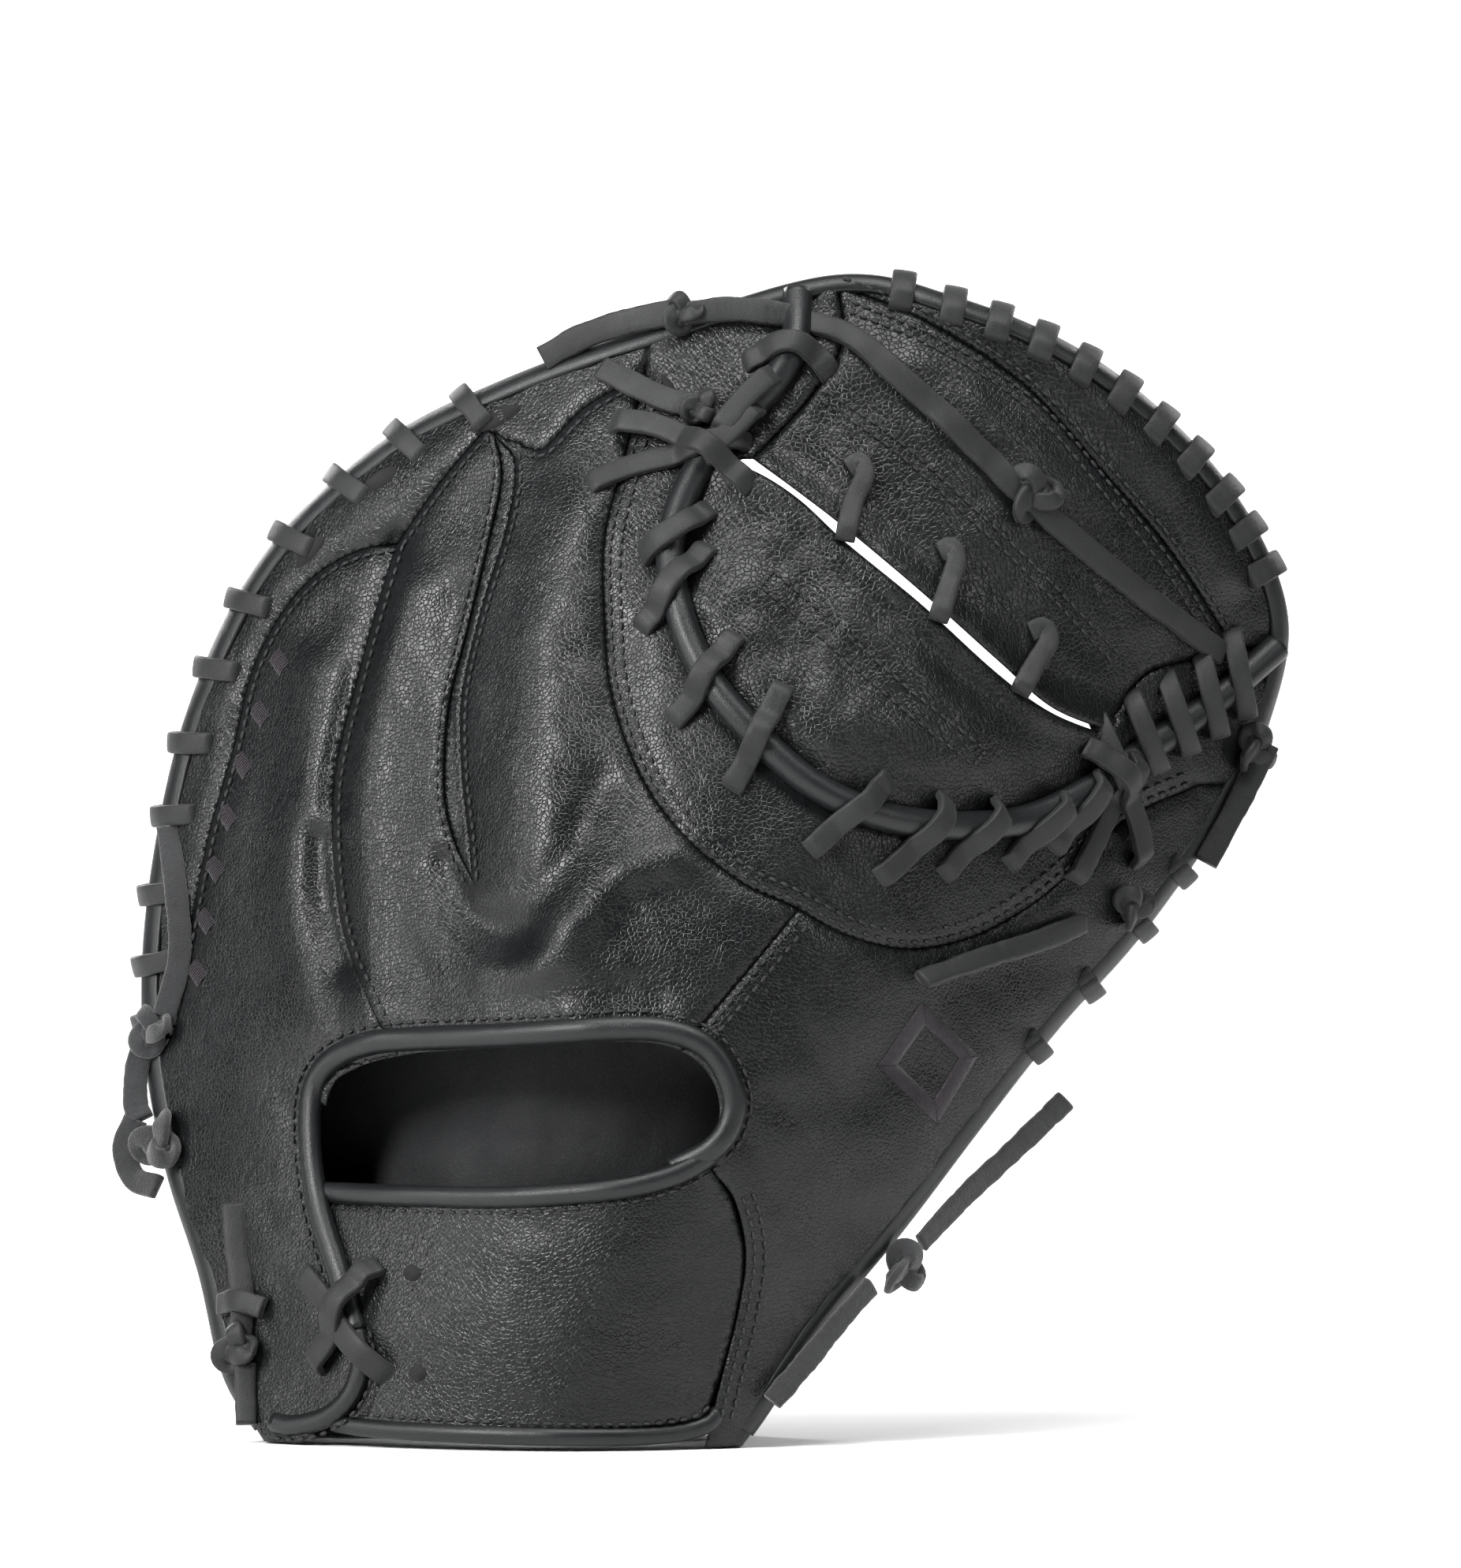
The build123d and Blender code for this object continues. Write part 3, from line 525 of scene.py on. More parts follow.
def leather(name, dark, light, rough=(0.25, 0.36), grain=0.0012, grain_strength=0.4,
            wrinkle=0.4, fuzz=0.0, sheen=0.0, coat=0.0):
    """Dyed leather: pebble grain with painted shade in its crevices, pulled wrinkles, uneven colour and shine.
    Sizes in metres.
    """
    material = bpy.data.materials.new(name)
    material.use_nodes = True
    nodes, links = material.node_tree.nodes, material.node_tree.links
    shader = nodes["Principled BSDF"]
    coords = nodes.new("ShaderNodeTexCoord").outputs["Object"]

    bend = nodes.new("ShaderNodeTexNoise")
    bend.inputs["Scale"].default_value = 260
    bend.inputs["Detail"].default_value = 2
    links.new(coords, bend.inputs["Vector"])
    push = nodes.new("ShaderNodeVectorMath")
    push.operation = "MULTIPLY_ADD"
    push.inputs[1].default_value = (0.0014, 0.0014, 0.0014)
    links.new(bend.outputs["Color"], push.inputs[0])
    links.new(coords, push.inputs[2])

    pebble = nodes.new("ShaderNodeTexVoronoi")
    pebble.feature = "DISTANCE_TO_EDGE"
    pebble.inputs["Scale"].default_value = 1 / grain
    links.new(push.outputs["Vector"], pebble.inputs["Vector"])
    dome = ramp(nodes, links, pebble.outputs["Distance"],
                [(0.0, (0, 0, 0)), (0.13, (0.75, 0.75, 0.75)), (0.4, (1, 1, 1))])

    pulled = nodes.new("ShaderNodeMapping")
    pulled.inputs["Rotation"].default_value = (0, 0.5, 0)
    pulled.inputs["Scale"].default_value = (1, 1, 0.45)
    links.new(coords, pulled.inputs["Vector"])
    wrinkles = mix_noise(nodes, links, pulled.outputs["Vector"], 330, 5, 0.62)
    soft = mix_noise(nodes, links, coords, 75, 3)
    patches = mix_noise(nodes, links, coords, 28, 4)

    normal = bump(nodes, links, soft, 0.5 * wrinkle, 0.001)
    normal = bump(nodes, links, wrinkles, wrinkle, 0.0005, normal)
    normal = bump(nodes, links, dome, grain_strength, 0.0002, normal)
    if fuzz:
        normal = bump(nodes, links, mix_noise(nodes, links, coords, 2600, 4, 0.7), fuzz, 0.0003, normal)
    links.new(normal, shader.inputs["Normal"])

    middle = tuple((a + b) / 2 for a, b in zip(dark, light))
    color = ramp(nodes, links, patches, [(0.3, dark), (0.55, middle), (0.75, light)])
    # Painted shade: the colour is darkened by up to 45 % in the low crevices between the grain's pebbles
    crevice_shade = nodes.new("ShaderNodeMix")
    crevice_shade.data_type = "RGBA"
    crevice_shade.blend_type = "MULTIPLY"
    crevice_shade.inputs["Factor"].default_value = 0.45
    links.new(color, crevice_shade.inputs["A"])
    links.new(dome, crevice_shade.inputs["B"])
    links.new(crevice_shade.outputs["Result"], shader.inputs["Base Color"])
    low, high = rough
    shine = ramp(nodes, links, soft, [(0.3, (low,) * 3), (0.7, (high,) * 3)])
    links.new(shine, shader.inputs["Roughness"])
    shader.inputs["Specular IOR Level"].default_value = 0.32
    shader.inputs["Sheen Weight"].default_value = sheen
    shader.inputs["Sheen Roughness"].default_value = 0.5
    shader.inputs["Coat Weight"].default_value = coat
    shader.inputs["Coat Roughness"].default_value = 0.45
    return material


BACK = leather("back_leather", (0.0042, 0.0046, 0.005), (0.0084, 0.009, 0.0095))
WEB = leather("web_leather", (0.0045, 0.0049, 0.0053), (0.0095, 0.0101, 0.0106), (0.27, 0.38),
              grain=0.0014, grain_strength=0.55, wrinkle=0.6)
PALM = leather("palm_leather", (0.0065, 0.007, 0.0076), (0.0125, 0.0134, 0.014), (0.4, 0.58),
               grain=0.0012, grain_strength=0.5, wrinkle=0.4)
PIPING = leather("binding_leather", (0.006, 0.0067, 0.0073), (0.0115, 0.0126, 0.0134), (0.34, 0.44),
                 grain=0.0008, grain_strength=0.18, wrinkle=0.15, coat=0.1)
RAWHIDE = leather("lace_leather", (0.008, 0.0084, 0.0087), (0.0175, 0.0184, 0.019), (0.46, 0.6),
                  grain=0.0007, grain_strength=0.2, wrinkle=0.3, fuzz=0.12, sheen=0.06)
SUEDE = leather("lace_suede", (0.014, 0.0145, 0.0155), (0.032, 0.033, 0.035), (0.8, 0.95),
                grain=0.0009, grain_strength=0.5, wrinkle=0.6, fuzz=0.7, sheen=0.35)
LINING = leather("lining_leather", (0.009, 0.0095, 0.0105), (0.017, 0.018, 0.0195), (0.62, 0.8),
                 grain=0.0012, grain_strength=0.3, wrinkle=0.4, fuzz=0.15, sheen=0.1)
THREAD = leather("stitching_thread", (0.012, 0.0123, 0.013), (0.03, 0.031, 0.033), (0.3, 0.4),
                 grain=0.0004, grain_strength=0.5, wrinkle=0.2)
SATIN = leather("embroidery_thread", (0.011, 0.0065, 0.0105), (0.02, 0.012, 0.0185), (0.3, 0.42),
                grain=0.0005, grain_strength=0.4, wrinkle=0.3, sheen=0.2)
# Painted shade: near-black for the flat ovals that stand in for the shadowed mouths of lace holes
HOLE_SHADE = plain_material("hole_shadow", (0.003, 0.003, 0.003), 0.9)

# ------------------------------------------------------------- which body each piece rides on


def over_fold(obj, slot, *nodes, reach=16):
    """A soft piece that crosses the fold: its transform is baked into its mesh and the parts it stands for are
    hidden.
    """
    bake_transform(obj)
    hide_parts(*nodes)
    return obj


def on_body(obj, body, slot, *nodes):
    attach(obj, body)
    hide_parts(*nodes)
    return obj


# ------------------------------------------------------------- the three free lace ends


def route(points):
    """The lace end's line in the CAD model, in metres: the same points as there."""
    line = []
    for x, z in points:
        here = np.array([x, x + 0.5, x - 0.5, x, x]), np.array([z, z, z, z + 0.5, z - 0.5])
        y, right, left, up, down = back_y(*here)
        clear = (LACE_W / 2 + 0.8) * math.sqrt(1 + (right - left) ** 2 + (up - down) ** 2)
        line.append((x * MM, (y - clear) * MM, z * MM))
    return line


def free_lace(name, points, node, seed, material):
    """A flat lace along the NURBS spline of a route."""
    curve = bpy.data.curves.new(name + "_line", "CURVE")
    curve.dimensions = "3D"
    curve.resolution_u = 24
    spline = curve.splines.new("NURBS")
    spline.points.add(len(points) - 1)
    for point, place in zip(spline.points, points):
        point.co = (*place, 1)
    spline.order_u = 3
    spline.use_endpoint_u = True
    holder = bpy.data.objects.new(name + "_line", curve)
    mesh = bpy.data.meshes.new_from_object(holder)
    path = np.array([v.co for v in mesh.vertices]) / MM
    bpy.data.meshes.remove(mesh)
    bpy.data.objects.remove(holder)
    spacing = 0.8
    path = even(path, spacing)
    _, normal = at_surface(path[:, [0, 2]], 0, back_y)
    turn = np.linspace(0, 1, len(path))[:, None] * (0.9 if seed % 2 else -0.7)
    _, side, _ = frames(path, normal)
    up = normal * np.cos(turn) + side * np.sin(turn)
    scale = 1 + waver(len(path), 0.07, 4, seed, 2, spacing) + waver(len(path), 0.05, 1.6, seed, 0, spacing)
    verts, faces = sweep(path, strap_profile(5.9, 2.6, 0.9), up, scale=scale)
    obj = make_object(name, verts, faces, material)
    on_body(obj, "thumb", "lace_leather", node)
    return obj


LONG_TAIL = route([(104, 138), (91, 133), (78, 130), (60, 124)])
HEEL_TAIL_UP = route([(60, 53), (71, 65), (84, 76), (99, 90)])
HEEL_TAIL_DOWN = route([(46.5, 42), (38, 33), (29, 22), (20, 12)])
free_lace("long_tail_lace", LONG_TAIL, "long_tail", 1, RAWHIDE)
free_lace("heel_tail_up_lace", HEEL_TAIL_UP, "heel_tail_up", 2, SUEDE)
free_lace("heel_tail_down_lace", HEEL_TAIL_DOWN, "heel_tail_down", 3, SUEDE)

# ------------------------------------------------------------- leather panels


def triangulate(lines, edge, spacing, beside):
    """Triangles over the mitt, with every line kept as an edge."""
    points, edges = [], []
    for line, closed in lines:
        first = len(points)
        points += [tuple(p) for p in line]
        edges += [(i, i + 1) for i in range(first, len(points) - 1)]
        if closed:
            edges.append((len(points) - 1, first))
    xs, zs = [], []
    rows = np.arange(-2, 316, spacing * 0.866)
    for j, row in enumerate(rows):
        columns = np.arange(-156, 168, spacing) + (spacing / 2 if j % 2 else 0)
        xs.append(columns)
        zs.append(np.full(len(columns), row))
    for line, _ in lines:
        for amount in beside:
            moved = line + amount * line_normals(line)
            xs.append(moved[::2, 0])
            zs.append(moved[::2, 1])
    x, z = np.concatenate(xs), np.concatenate(zs)
    gap = np.full(len(x), FAR)
    for line, closed in lines:
        gap = np.minimum(gap, distance(x, z, line, closed))
    lattice = sum(len(a) for a in xs[: len(rows)])
    least = np.where(np.arange(len(x)) < lattice, max(1.0, spacing * 0.45), 0.42)
    keep = (gap > least) & (inside(x, z, edge) | (gap < 3))
    points += list(zip(x[keep].tolist(), z[keep].tolist()))
    result = delaunay_2d_cdt([Vector(p) for p in points], edges, [], 0, 1e-5)
    xz = np.array([tuple(v) for v in result[0]])
    faces = np.array([f for f in result[2] if len(f) == 3])
    middle = xz[faces].mean(axis=1)
    inner = inside(middle[:, 0], middle[:, 1], edge)
    return xz, faces[inner], middle[inner]


def slab(name, xz, faces, near, far, material, rounding=1.1, outward=-1):
    """A leather piece between two curved faces, with rounded edges."""
    used, local = np.unique(faces, return_inverse=True)
    faces = local.reshape(-1, 3)
    x, z = xz[used, 0], xz[used, 1]
    sides = np.concatenate([faces[:, [0, 1]], faces[:, [1, 2]], faces[:, [2, 0]]])
    key = np.sort(sides, axis=1)
    _, index, count = np.unique(key, axis=0, return_index=True, return_counts=True)
    rims = sides[index[count == 1]]
    a, b = np.stack([x[rims[:, 0]], z[rims[:, 0]]], 1), np.stack([x[rims[:, 1]], z[rims[:, 1]]], 1)
    d, length2 = b - a, ((b - a) ** 2).sum(1) + 1e-12
    gap = np.full(len(x), FAR)
    for start in range(0, len(x), 3000):
        u = x[start : start + 3000, None] - a[:, 0]
        v = z[start : start + 3000, None] - a[:, 1]
        t = np.clip((u * d[:, 0] + v * d[:, 1]) / length2, 0, 1)
        gap[start : start + 3000] = np.hypot(u - t * d[:, 0], v - t * d[:, 1]).min(1)
    short = np.clip(rounding - gap, 0, rounding)
    drop = rounding - np.sqrt(rounding**2 - short**2)
    front = near(x, z) - outward * drop
    back = far(x, z)
    n = len(x)
    verts = np.concatenate([np.stack([x, front, z], 1), np.stack([x, back, z], 1)])
    shell = faces.tolist() + (faces[:, ::-1] + n).tolist()
    shell += [[j, i, i + n, j + n] for i, j in rims.tolist()]
    return make_object(name, verts, shell, material)


edge_inner = RIM + 1.4 * np.where(RIM[:, 1:] > 3, 1, 0) * -line_normals(RIM)
EDGE = np.vstack([edge_inner, [[0, 0], [-60, 0], [-110, 0]]])
FLOOR_LINE = even([(-118, 0.0), (14, 0.0)], 1.6)
seams = [(edge_inner, False), (FLOOR_LINE, False), (OPENING, True)] + [
    (line, False)
    for line in (WELT, LOWER_WEB_TOP, UPPER_WEB_FOOT, UPPER_WEB_LEFT, UPPER_WEB_RIGHT, WEB_SEAM,
                 SEAM_CRESCENT, RIM_SEAM, RIM_SEAM_TOP, INDEX_TOP, STRIP, STRIP_LEFT, VALLEY,
                 SEAM_INDEX_FOOT, FLAP_EDGE, STRAP_SEAM)
]  # fmt: skip
XZ, FACES, MIDDLES = triangulate(seams, EDGE, 1.7, (0.6, 1.3, -0.6, -1.3))
MX, MZ = MIDDLES[:, 0], MIDDLES[:, 1]


def joined(*lines):
    """One line from several, end to end."""
    return np.vstack([np.asarray(line, float).reshape(-1, 2) for line in lines])


WEB_OUTLINE = joined(WELT, [(190, 240), (190, 340), (27, 340)])
in_web = inside(MX, MZ, WEB_OUTLINE)
in_crescent = inside(MX, MZ, joined(SEAM_CRESCENT, [(190, 178), (190, 340), (-14, 340)])) & ~in_web
upper_edge = joined(UPPER_WEB_LEFT, UPPER_WEB_FOOT, UPPER_WEB_RIGHT, WEB_SEAM[::-1])
in_upper_web = in_web & inside(MX, MZ, upper_edge)
gap_left = in_web & (MX < 42) & (MZ > 263) & ~in_upper_web
gap_right = in_web & (MX > 108) & ~in_upper_web
band_edge = joined(WEB_SEAM, [(190, 215), (190, 340), (38, 340)])
in_outer_band = in_web & ~in_upper_web & inside(MX, MZ, band_edge)
lower_edge = joined(LOWER_WEB_TOP, [(130, 187), (112, 160), (60, 150), (0, 170), (-25, 240)])
in_lower_web = in_web & inside(MX, MZ, lower_edge)
in_lower_web |= (gap_left | gap_right) & ~in_outer_band
free = ~in_web & ~in_crescent
in_hole = inside(MX, MZ, OPENING)
in_hole |= inside(MX, MZ, joined(FLAP_EDGE, STRAP_SEAM[::-1], [(-20, 85)])) & (MZ < 86)
rim_edge = joined(RIM_SEAM, RIM_SEAM_TOP, INDEX_TOP, [(-10, 340), (-175, 340), (-175, 92)])
in_rim_band = free & inside(MX, MZ, rim_edge)
free &= ~in_hole & ~in_rim_band
in_strip = free & inside(MX, MZ, joined(STRIP, STRIP_LEFT[::-1]))
free &= ~in_strip
finger_edge = joined(VALLEY, [(-60, 100), (-60, 150)], STRIP_LEFT[::-1], [(-54, 290), (-81, 290)])
in_fingers = free & inside(MX, MZ, finger_edge)
free &= ~in_fingers
pinky_edge = joined(VALLEY, [(-96, 100)], FLAP_EDGE, [(-108, -10), (-175, -10), (-175, 300), (-81, 300)])
in_pinky = free & inside(MX, MZ, pinky_edge)
free &= ~in_pinky
thumb_edge = joined(STRAP_SEAM[::-1], [(5, 85)], SEAM_INDEX_FOOT[::-1], [(60, 170), (200, 240), (200, -10)])
in_thumb = free & inside(MX, MZ, thumb_edge)
in_fingers |= free & ~in_thumb & (MX < 40) & (MZ > 90)


def backed(depth):
    """The face so far behind the visible back."""
    return lambda x, z: skin(x, z) + depth


def panel(name, mask, lift=0.0):
    """A leather panel of the back, raised a little over its neighbours."""
    return slab(name, XZ, FACES[mask], backed(-lift), backed(2.5), BACK, 0.6)


on_body(panel("rim_band_leather", in_rim_band), "fingers", "back_leather", "rim_band")
on_body(panel("pinky_panel_leather", in_pinky, 0.5), "fingers", "back_leather", "pinky_panel")
fingers = panel("finger_back_leather", in_fingers, 0.6)
on_body(fingers, "fingers", "back_leather", "middle_finger_panel", "index_panel")
on_body(panel("finger_seam_leather", in_strip, -0.6), "fingers", "back_leather", "finger_seam_strip")
crescent = panel("crescent_leather", in_crescent)
over_fold(crescent, "back_leather", "crescent_finger_side", "crescent_thumb_side")
over_fold(panel("thumb_leather", in_thumb, 0.3), "back_leather", "thumb_panel", "hinge_gusset")


def web_bulge(x, z):
    """How far the web leather rolls forward at the two edges of its slit."""
    lower = 2.6 * np.exp(-((distance(x, z, LOWER_WEB_TOP) / 5.0) ** 2))
    upper = 1.6 * np.exp(-((distance(x, z, UPPER_WEB_FOOT) / 4.0) ** 2))
    crease = 0.5 * noise(x, z, 6, 6) + 0.5 * noise(x + z, z * 0.5, 9, 8)
    return skin(x, z) - lower - upper + crease


def web_back(x, z):
    """The hidden face of the web leather."""
    return back_y(x, z) + 4.8 + 0.4 * noise(x, z, 9, 9)


lower_web = slab("web_lower_leather", XZ, FACES[in_lower_web], web_bulge, web_back, WEB, 2.3)
over_fold(lower_web, "back_leather", "web_lower_panel_finger_side", "web_lower_panel_thumb_side")
upper_web = slab("web_upper_leather", XZ, FACES[in_upper_web], web_bulge, web_back, WEB, 1.8)
over_fold(upper_web, "back_leather", "web_upper_panel_finger_side", "web_upper_panel_thumb_side")
outer_band = slab("web_outer_leather", XZ, FACES[in_outer_band], backed(0.4), web_back, WEB, 1.2)
over_fold(outer_band, "back_leather", "web_outer_band_finger_side", "web_outer_band_thumb_side")

# ------------------------------------------------------------- palm, padding and linings

HAND = smooth_line([
    (-112, 0), (-128, 80), (-130, 130), (-120, 180), (-98, 222), (-70, 245), (-45, 245), (-36, 215),
    (-32, 190), (-22, 165), (-14, 146), (-4, 126), (4, 108), (14, 88), (17, 60), (4, 0),
], 3.0)  # fmt: skip
STALL = smooth_line([
    (2, 0), (34, 112), (60, 122), (84, 130), (98, 134), (86, 112), (66, 88), (46, 62), (26, 40), (15, 26),
    (6, 4),
], 3.0)  # fmt: skip


def palm_skin(x, z):
    """Y of the visible palm: rolled over at the rim, with soft folds towards the pocket."""
    flat = palm_y(x, z)
    edge = np.minimum(distance(x, z, RIM), 22.0)
    roll = (1 - np.sqrt(1 - (1 - edge / 22.0) ** 2)) * step((z - 8) / 45)
    full = flat - np.maximum(0, flat - back_y(x, z) - 9.0) * roll
    toward = np.arctan2(z - 190, x - 60)
    folds = 1.2 * noise(toward * 30, edge * 0, 4, 11) * step((distance(x, z, POCKET) - 8) / 50)
    return full - np.abs(folds) * 0.7 - 0.5 * noise(x, z, 12, 12)


palm_lines = [(line, False) for line in (even(edge_inner, 2), even(FLOOR_LINE, 3), even(WELT, 2), HAND, STALL)]
PXZ, PFACES, PMIDDLES = triangulate(palm_lines, EDGE, 2.6, (2.0, -2.0))
px, pz = PMIDDLES[:, 0], PMIDDLES[:, 1]
palm_part = ~inside(px, pz, WEB_OUTLINE)
in_hand = palm_part & inside(px, pz, HAND)
in_stall = palm_part & inside(px, pz, STALL) & ~in_hand
in_roll = palm_part & ~in_hand & ~in_stall
across = across_fold(px, pz)
PAD_GAP = 14  # the pads end this far from the fold
hand_pad_part = in_hand & (across < -PAD_GAP)
stall_lining_part = in_stall & (px > 20)
stall_pad_part = stall_lining_part & (across > PAD_GAP)


def palm_under(depth):
    """The face so far under the visible palm."""
    return lambda x, z: palm_skin(x, z) - depth


def roll_far(x, z):
    """The palm side of the rim roll, which keeps some thickness everywhere."""
    return np.maximum(palm_skin(x, z) - 2.5, skin(x, z) + 3.5)


def lining(name, mask, body, node):
    """Thin leather behind the back."""
    shell = slab(name, PXZ, PFACES[mask], backed(2.7), backed(4.2), LINING, 0.4)
    on_body(shell, body, "lining_leather", node)


def pad(name, mask, thick, body, *nodes):
    """Felt under the palm leather."""
    shell = slab(name, PXZ, PFACES[mask], palm_under(2.5), palm_under(thick), LINING, 0.5, outward=1)
    on_body(shell, body, "felt_padding", *nodes)


palm = slab("palm_leather", PXZ, PFACES[palm_part], palm_skin, palm_under(2.4), PALM, 1.0, outward=1)
over_fold(
    palm, "palm_leather", "palm_leather_finger_side", "palm_leather_thumb_side", "palm_leather_break", reach=24
)
roll = slab("rim_roll_padding", PXZ, PFACES[in_roll], backed(2.7), roll_far, LINING, 0.5)
over_fold(roll, "felt_padding", "finger_rim_roll", "thumb_rim_roll", reach=24)
opening_side = joined([(-135, 113), (8, 113), (30, 60), (30, -20), (-135, -20)])
lining("back_lining_leather", in_hand & ~inside(px, pz, opening_side), "fingers", "back_lining")
lining("thumb_lining_leather", stall_lining_part, "thumb", "thumb_lining")
pad("thumb_padding", stall_pad_part, 13, "thumb", "thumb_pad")
pad("palm_padding", hand_pad_part, 17, "fingers", "palm_pad", "heel_pad", "palm_lining")

# ------------------------------------------------------------- welt, bindings and rim

welt_path, welt_up = at_surface(WELT, 0.6)
verts, faces = sweep(welt_path, round_profile(4.0, 16), welt_up)
welt = make_object("crotch_welt_piping", verts, faces, PIPING)
over_fold(welt, "binding_leather", "crotch_welt_finger_side", "crotch_welt_thumb_side")


def rim_spot(x, z, inward, depth, face=smooth_skin):
    """A point near the rim: so far inwards from it, and so far behind a face, with the outward direction."""
    gap = np.hypot(RIM[:, 0] - x, RIM[:, 1] - z)
    i = int(gap.argmin())
    a, b = RIM[max(0, i - 3)], RIM[min(len(RIM) - 1, i + 3)]
    t = (b - a) / np.linalg.norm(b - a)
    out = np.array([-t[1], t[0]])
    p = RIM[i] - out * inward
    y = face(np.array([p[0]]), np.array([p[1]]))[0] + depth
    return np.array([p[0], y, p[1]]), out, t


# The binding is a U of thin leather folded over the rim
BINDING = [
    (4.4, 0.2), (3.2, -0.55), (1.4, -0.8), (-0.4, 0.2), (-0.8, 3.0), (-0.8, 6.5), (-0.2, 9.0),
    (1.5, 10.0), (3.2, 10.2), (3.2, 8.8), (1.6, 8.6), (0.9, 7.0), (0.9, 3.0), (1.5, 1.2),
]  # fmt: skip
rim_line = even(RIM[(RIM[:, 1] > 2.5)], 1.6)
rim_out = line_normals(rim_line)
rows = []
for inward, depth in BINDING:
    p = rim_line - rim_out * inward
    rows.append(np.stack([p[:, 0], smooth_skin(p[:, 0], p[:, 1]) + depth, p[:, 1]], 1))
rows = np.stack(rows, 1)
count, around = rows.shape[:2]
faces = []
for i in range(0, (count - 1) * around, around):
    faces += [[i + j, i + (j + 1) % around, i + around + (j + 1) % around, i + around + j] for j in range(around)]
faces += [list(range(around)), [(count - 1) * around + j for j in range(around)]]
binding = make_object("rim_binding_leather", rows.reshape(-1, 3), faces, PIPING)
over_fold(binding, "binding_leather", "rim_binding_finger_side", "rim_binding_thumb_side")


def piping(name, line, height, radius, sides, flat, body, node, face=smooth_skin):
    """A round piping of folded leather along a line."""
    path, up = at_surface(line, height, face)
    verts, faces = sweep(path, round_profile(radius, sides, flat), up)
    on_body(make_object(name, verts, faces, PIPING), body, "binding_leather", node)


OPENING_PIPING = smooth_line([
    (-91, 30), (-95.5, 45), (-101, 62), (-103.5, 78), (-103, 93), (-98, 101.5), (-88, 106.5), (-76, 108),
    (-52, 109.5), (-24, 111.5), (-8, 111), (3.5, 106), (9.5, 95), (8.5, 86), (3, 79), (-6, 74.5),
])  # fmt: skip
share = np.linspace(0, 1, len(OPENING_PIPING))
sunk = 0.5 - 4.5 * step((share - 0.93) / 0.07)
piping("hand_opening_piping", OPENING_PIPING, sunk, 3.3, 14, 0.85, "fingers", "hand_opening_binding")
FLAP_PIPING = smooth_line([(-91, 30), (-89.5, 22), (-92.5, 13), (-99, 7), (-108, 4.5), (-113, 5)])
piping("flap_piping", FLAP_PIPING, 0.3, 2.9, 14, 0.85, "fingers", "flap_binding")

# ------------------------------------------------------------- wrist strap

STRAP_DEPTH = 1.7  # the strap's outer face lies this far inside the back
STRAP = joined(
    smooth_line([(-111, 64), (-52, 65.5), (-24, 67.5), (-6, 71.5), (3, 76)]),
    smooth_line([(9.4, 66), (12.5, 52), (10.5, 36), (6.5, 20), (1.8, 7)]),
    smooth_line([(-20, 4.5), (-60, 4), (-111, 6)]),
)


def strap_skin(x, z):
    """Y of the wrist strap's outer face."""
    sag = 0.9 * np.exp(-(((z - 35) / 18.0) ** 2)) * step((8 - x) / 60)
    crease = 0.35 * noise(x, z, 14, 21) + 0.25 * noise(x * 0.4, z, 7, 22)
    tuck = 1.0 * np.exp(-((distance(x, z, STRAP_SEAM) / 3.0) ** 2))
    return back_y(x, z) + STRAP_DEPTH - sag - crease - tuck


def strap_inner(x, z):
    return strap_skin(x, z) + 4.0


strap_lines = [(even(STRAP, 1.6), True)]
SXZ, SFACES, SMIDDLES = triangulate(strap_lines, STRAP, 2.0, (1.0, 2.0, -1.0, -2.0))
strap = slab("wrist_strap_leather", SXZ, SFACES, strap_skin, strap_inner, BACK, 1.0)
on_body(strap, "strap", "back_leather", "wrist_strap", "wrist_strap_lining")
TOP_PIPING = smooth_line([(-100, 66.4), (-76, 66.4), (-52, 66.6), (-24, 68.8), (-8, 72.2), (1, 76.5), (6, 81)])
piping("strap_top_piping", TOP_PIPING, -0.2, 3.0, 14, 0.9, "strap", "strap_top_binding", strap_skin)
FOOT_PIPING = smooth_line([(-97, 5.6), (-82, 4.4), (-40, 3.4), (-10, 3.4), (2, 5.6), (6, 9)])
piping("strap_foot_piping", FOOT_PIPING, -0.4, 2.5, 12, 0.9, "strap", "strap_foot_binding", strap_skin)

# ------------------------------------------------------------- laces


def over_welt(points, extra=0.0, seed=0):
    """A flat lace from hole to hole that arches over the welt."""
    line = smooth_line(points, LACE_STEP)
    path, normal = at_surface(line, heaped(line, WELT, 1.25, 0.6, 5.8, extra, 3.2))
    return sweep(path, strap_profile(), normal, scale=1 + waver(len(line), 0.03, 3.0, seed, 3.0))


STAPLES = [
    [(-15.5, 237), (-6, 241.5), (4, 250.5)], [(-15.7, 217), (-9, 224), (3.4, 240.5)],
    [(-7.2, 192.5), (-1, 199), (10.8, 217)], [(8.7, 174.5), (14, 184), (23.5, 203.5)],
    [(29.5, 158), (39, 167), (52, 178.5)], [(48, 150.5), (57, 159), (67, 173)],
    [(65, 151), (72, 160), (80.5, 170.5)], [(82.5, 153.5), (89, 162), (97.5, 172.5)],
    [(95, 157), (100, 166), (106.5, 178)],
]
welt_laces = Shape()
for i, ends in enumerate(STAPLES):
    welt_laces.add(*over_welt(ends, seed=i))
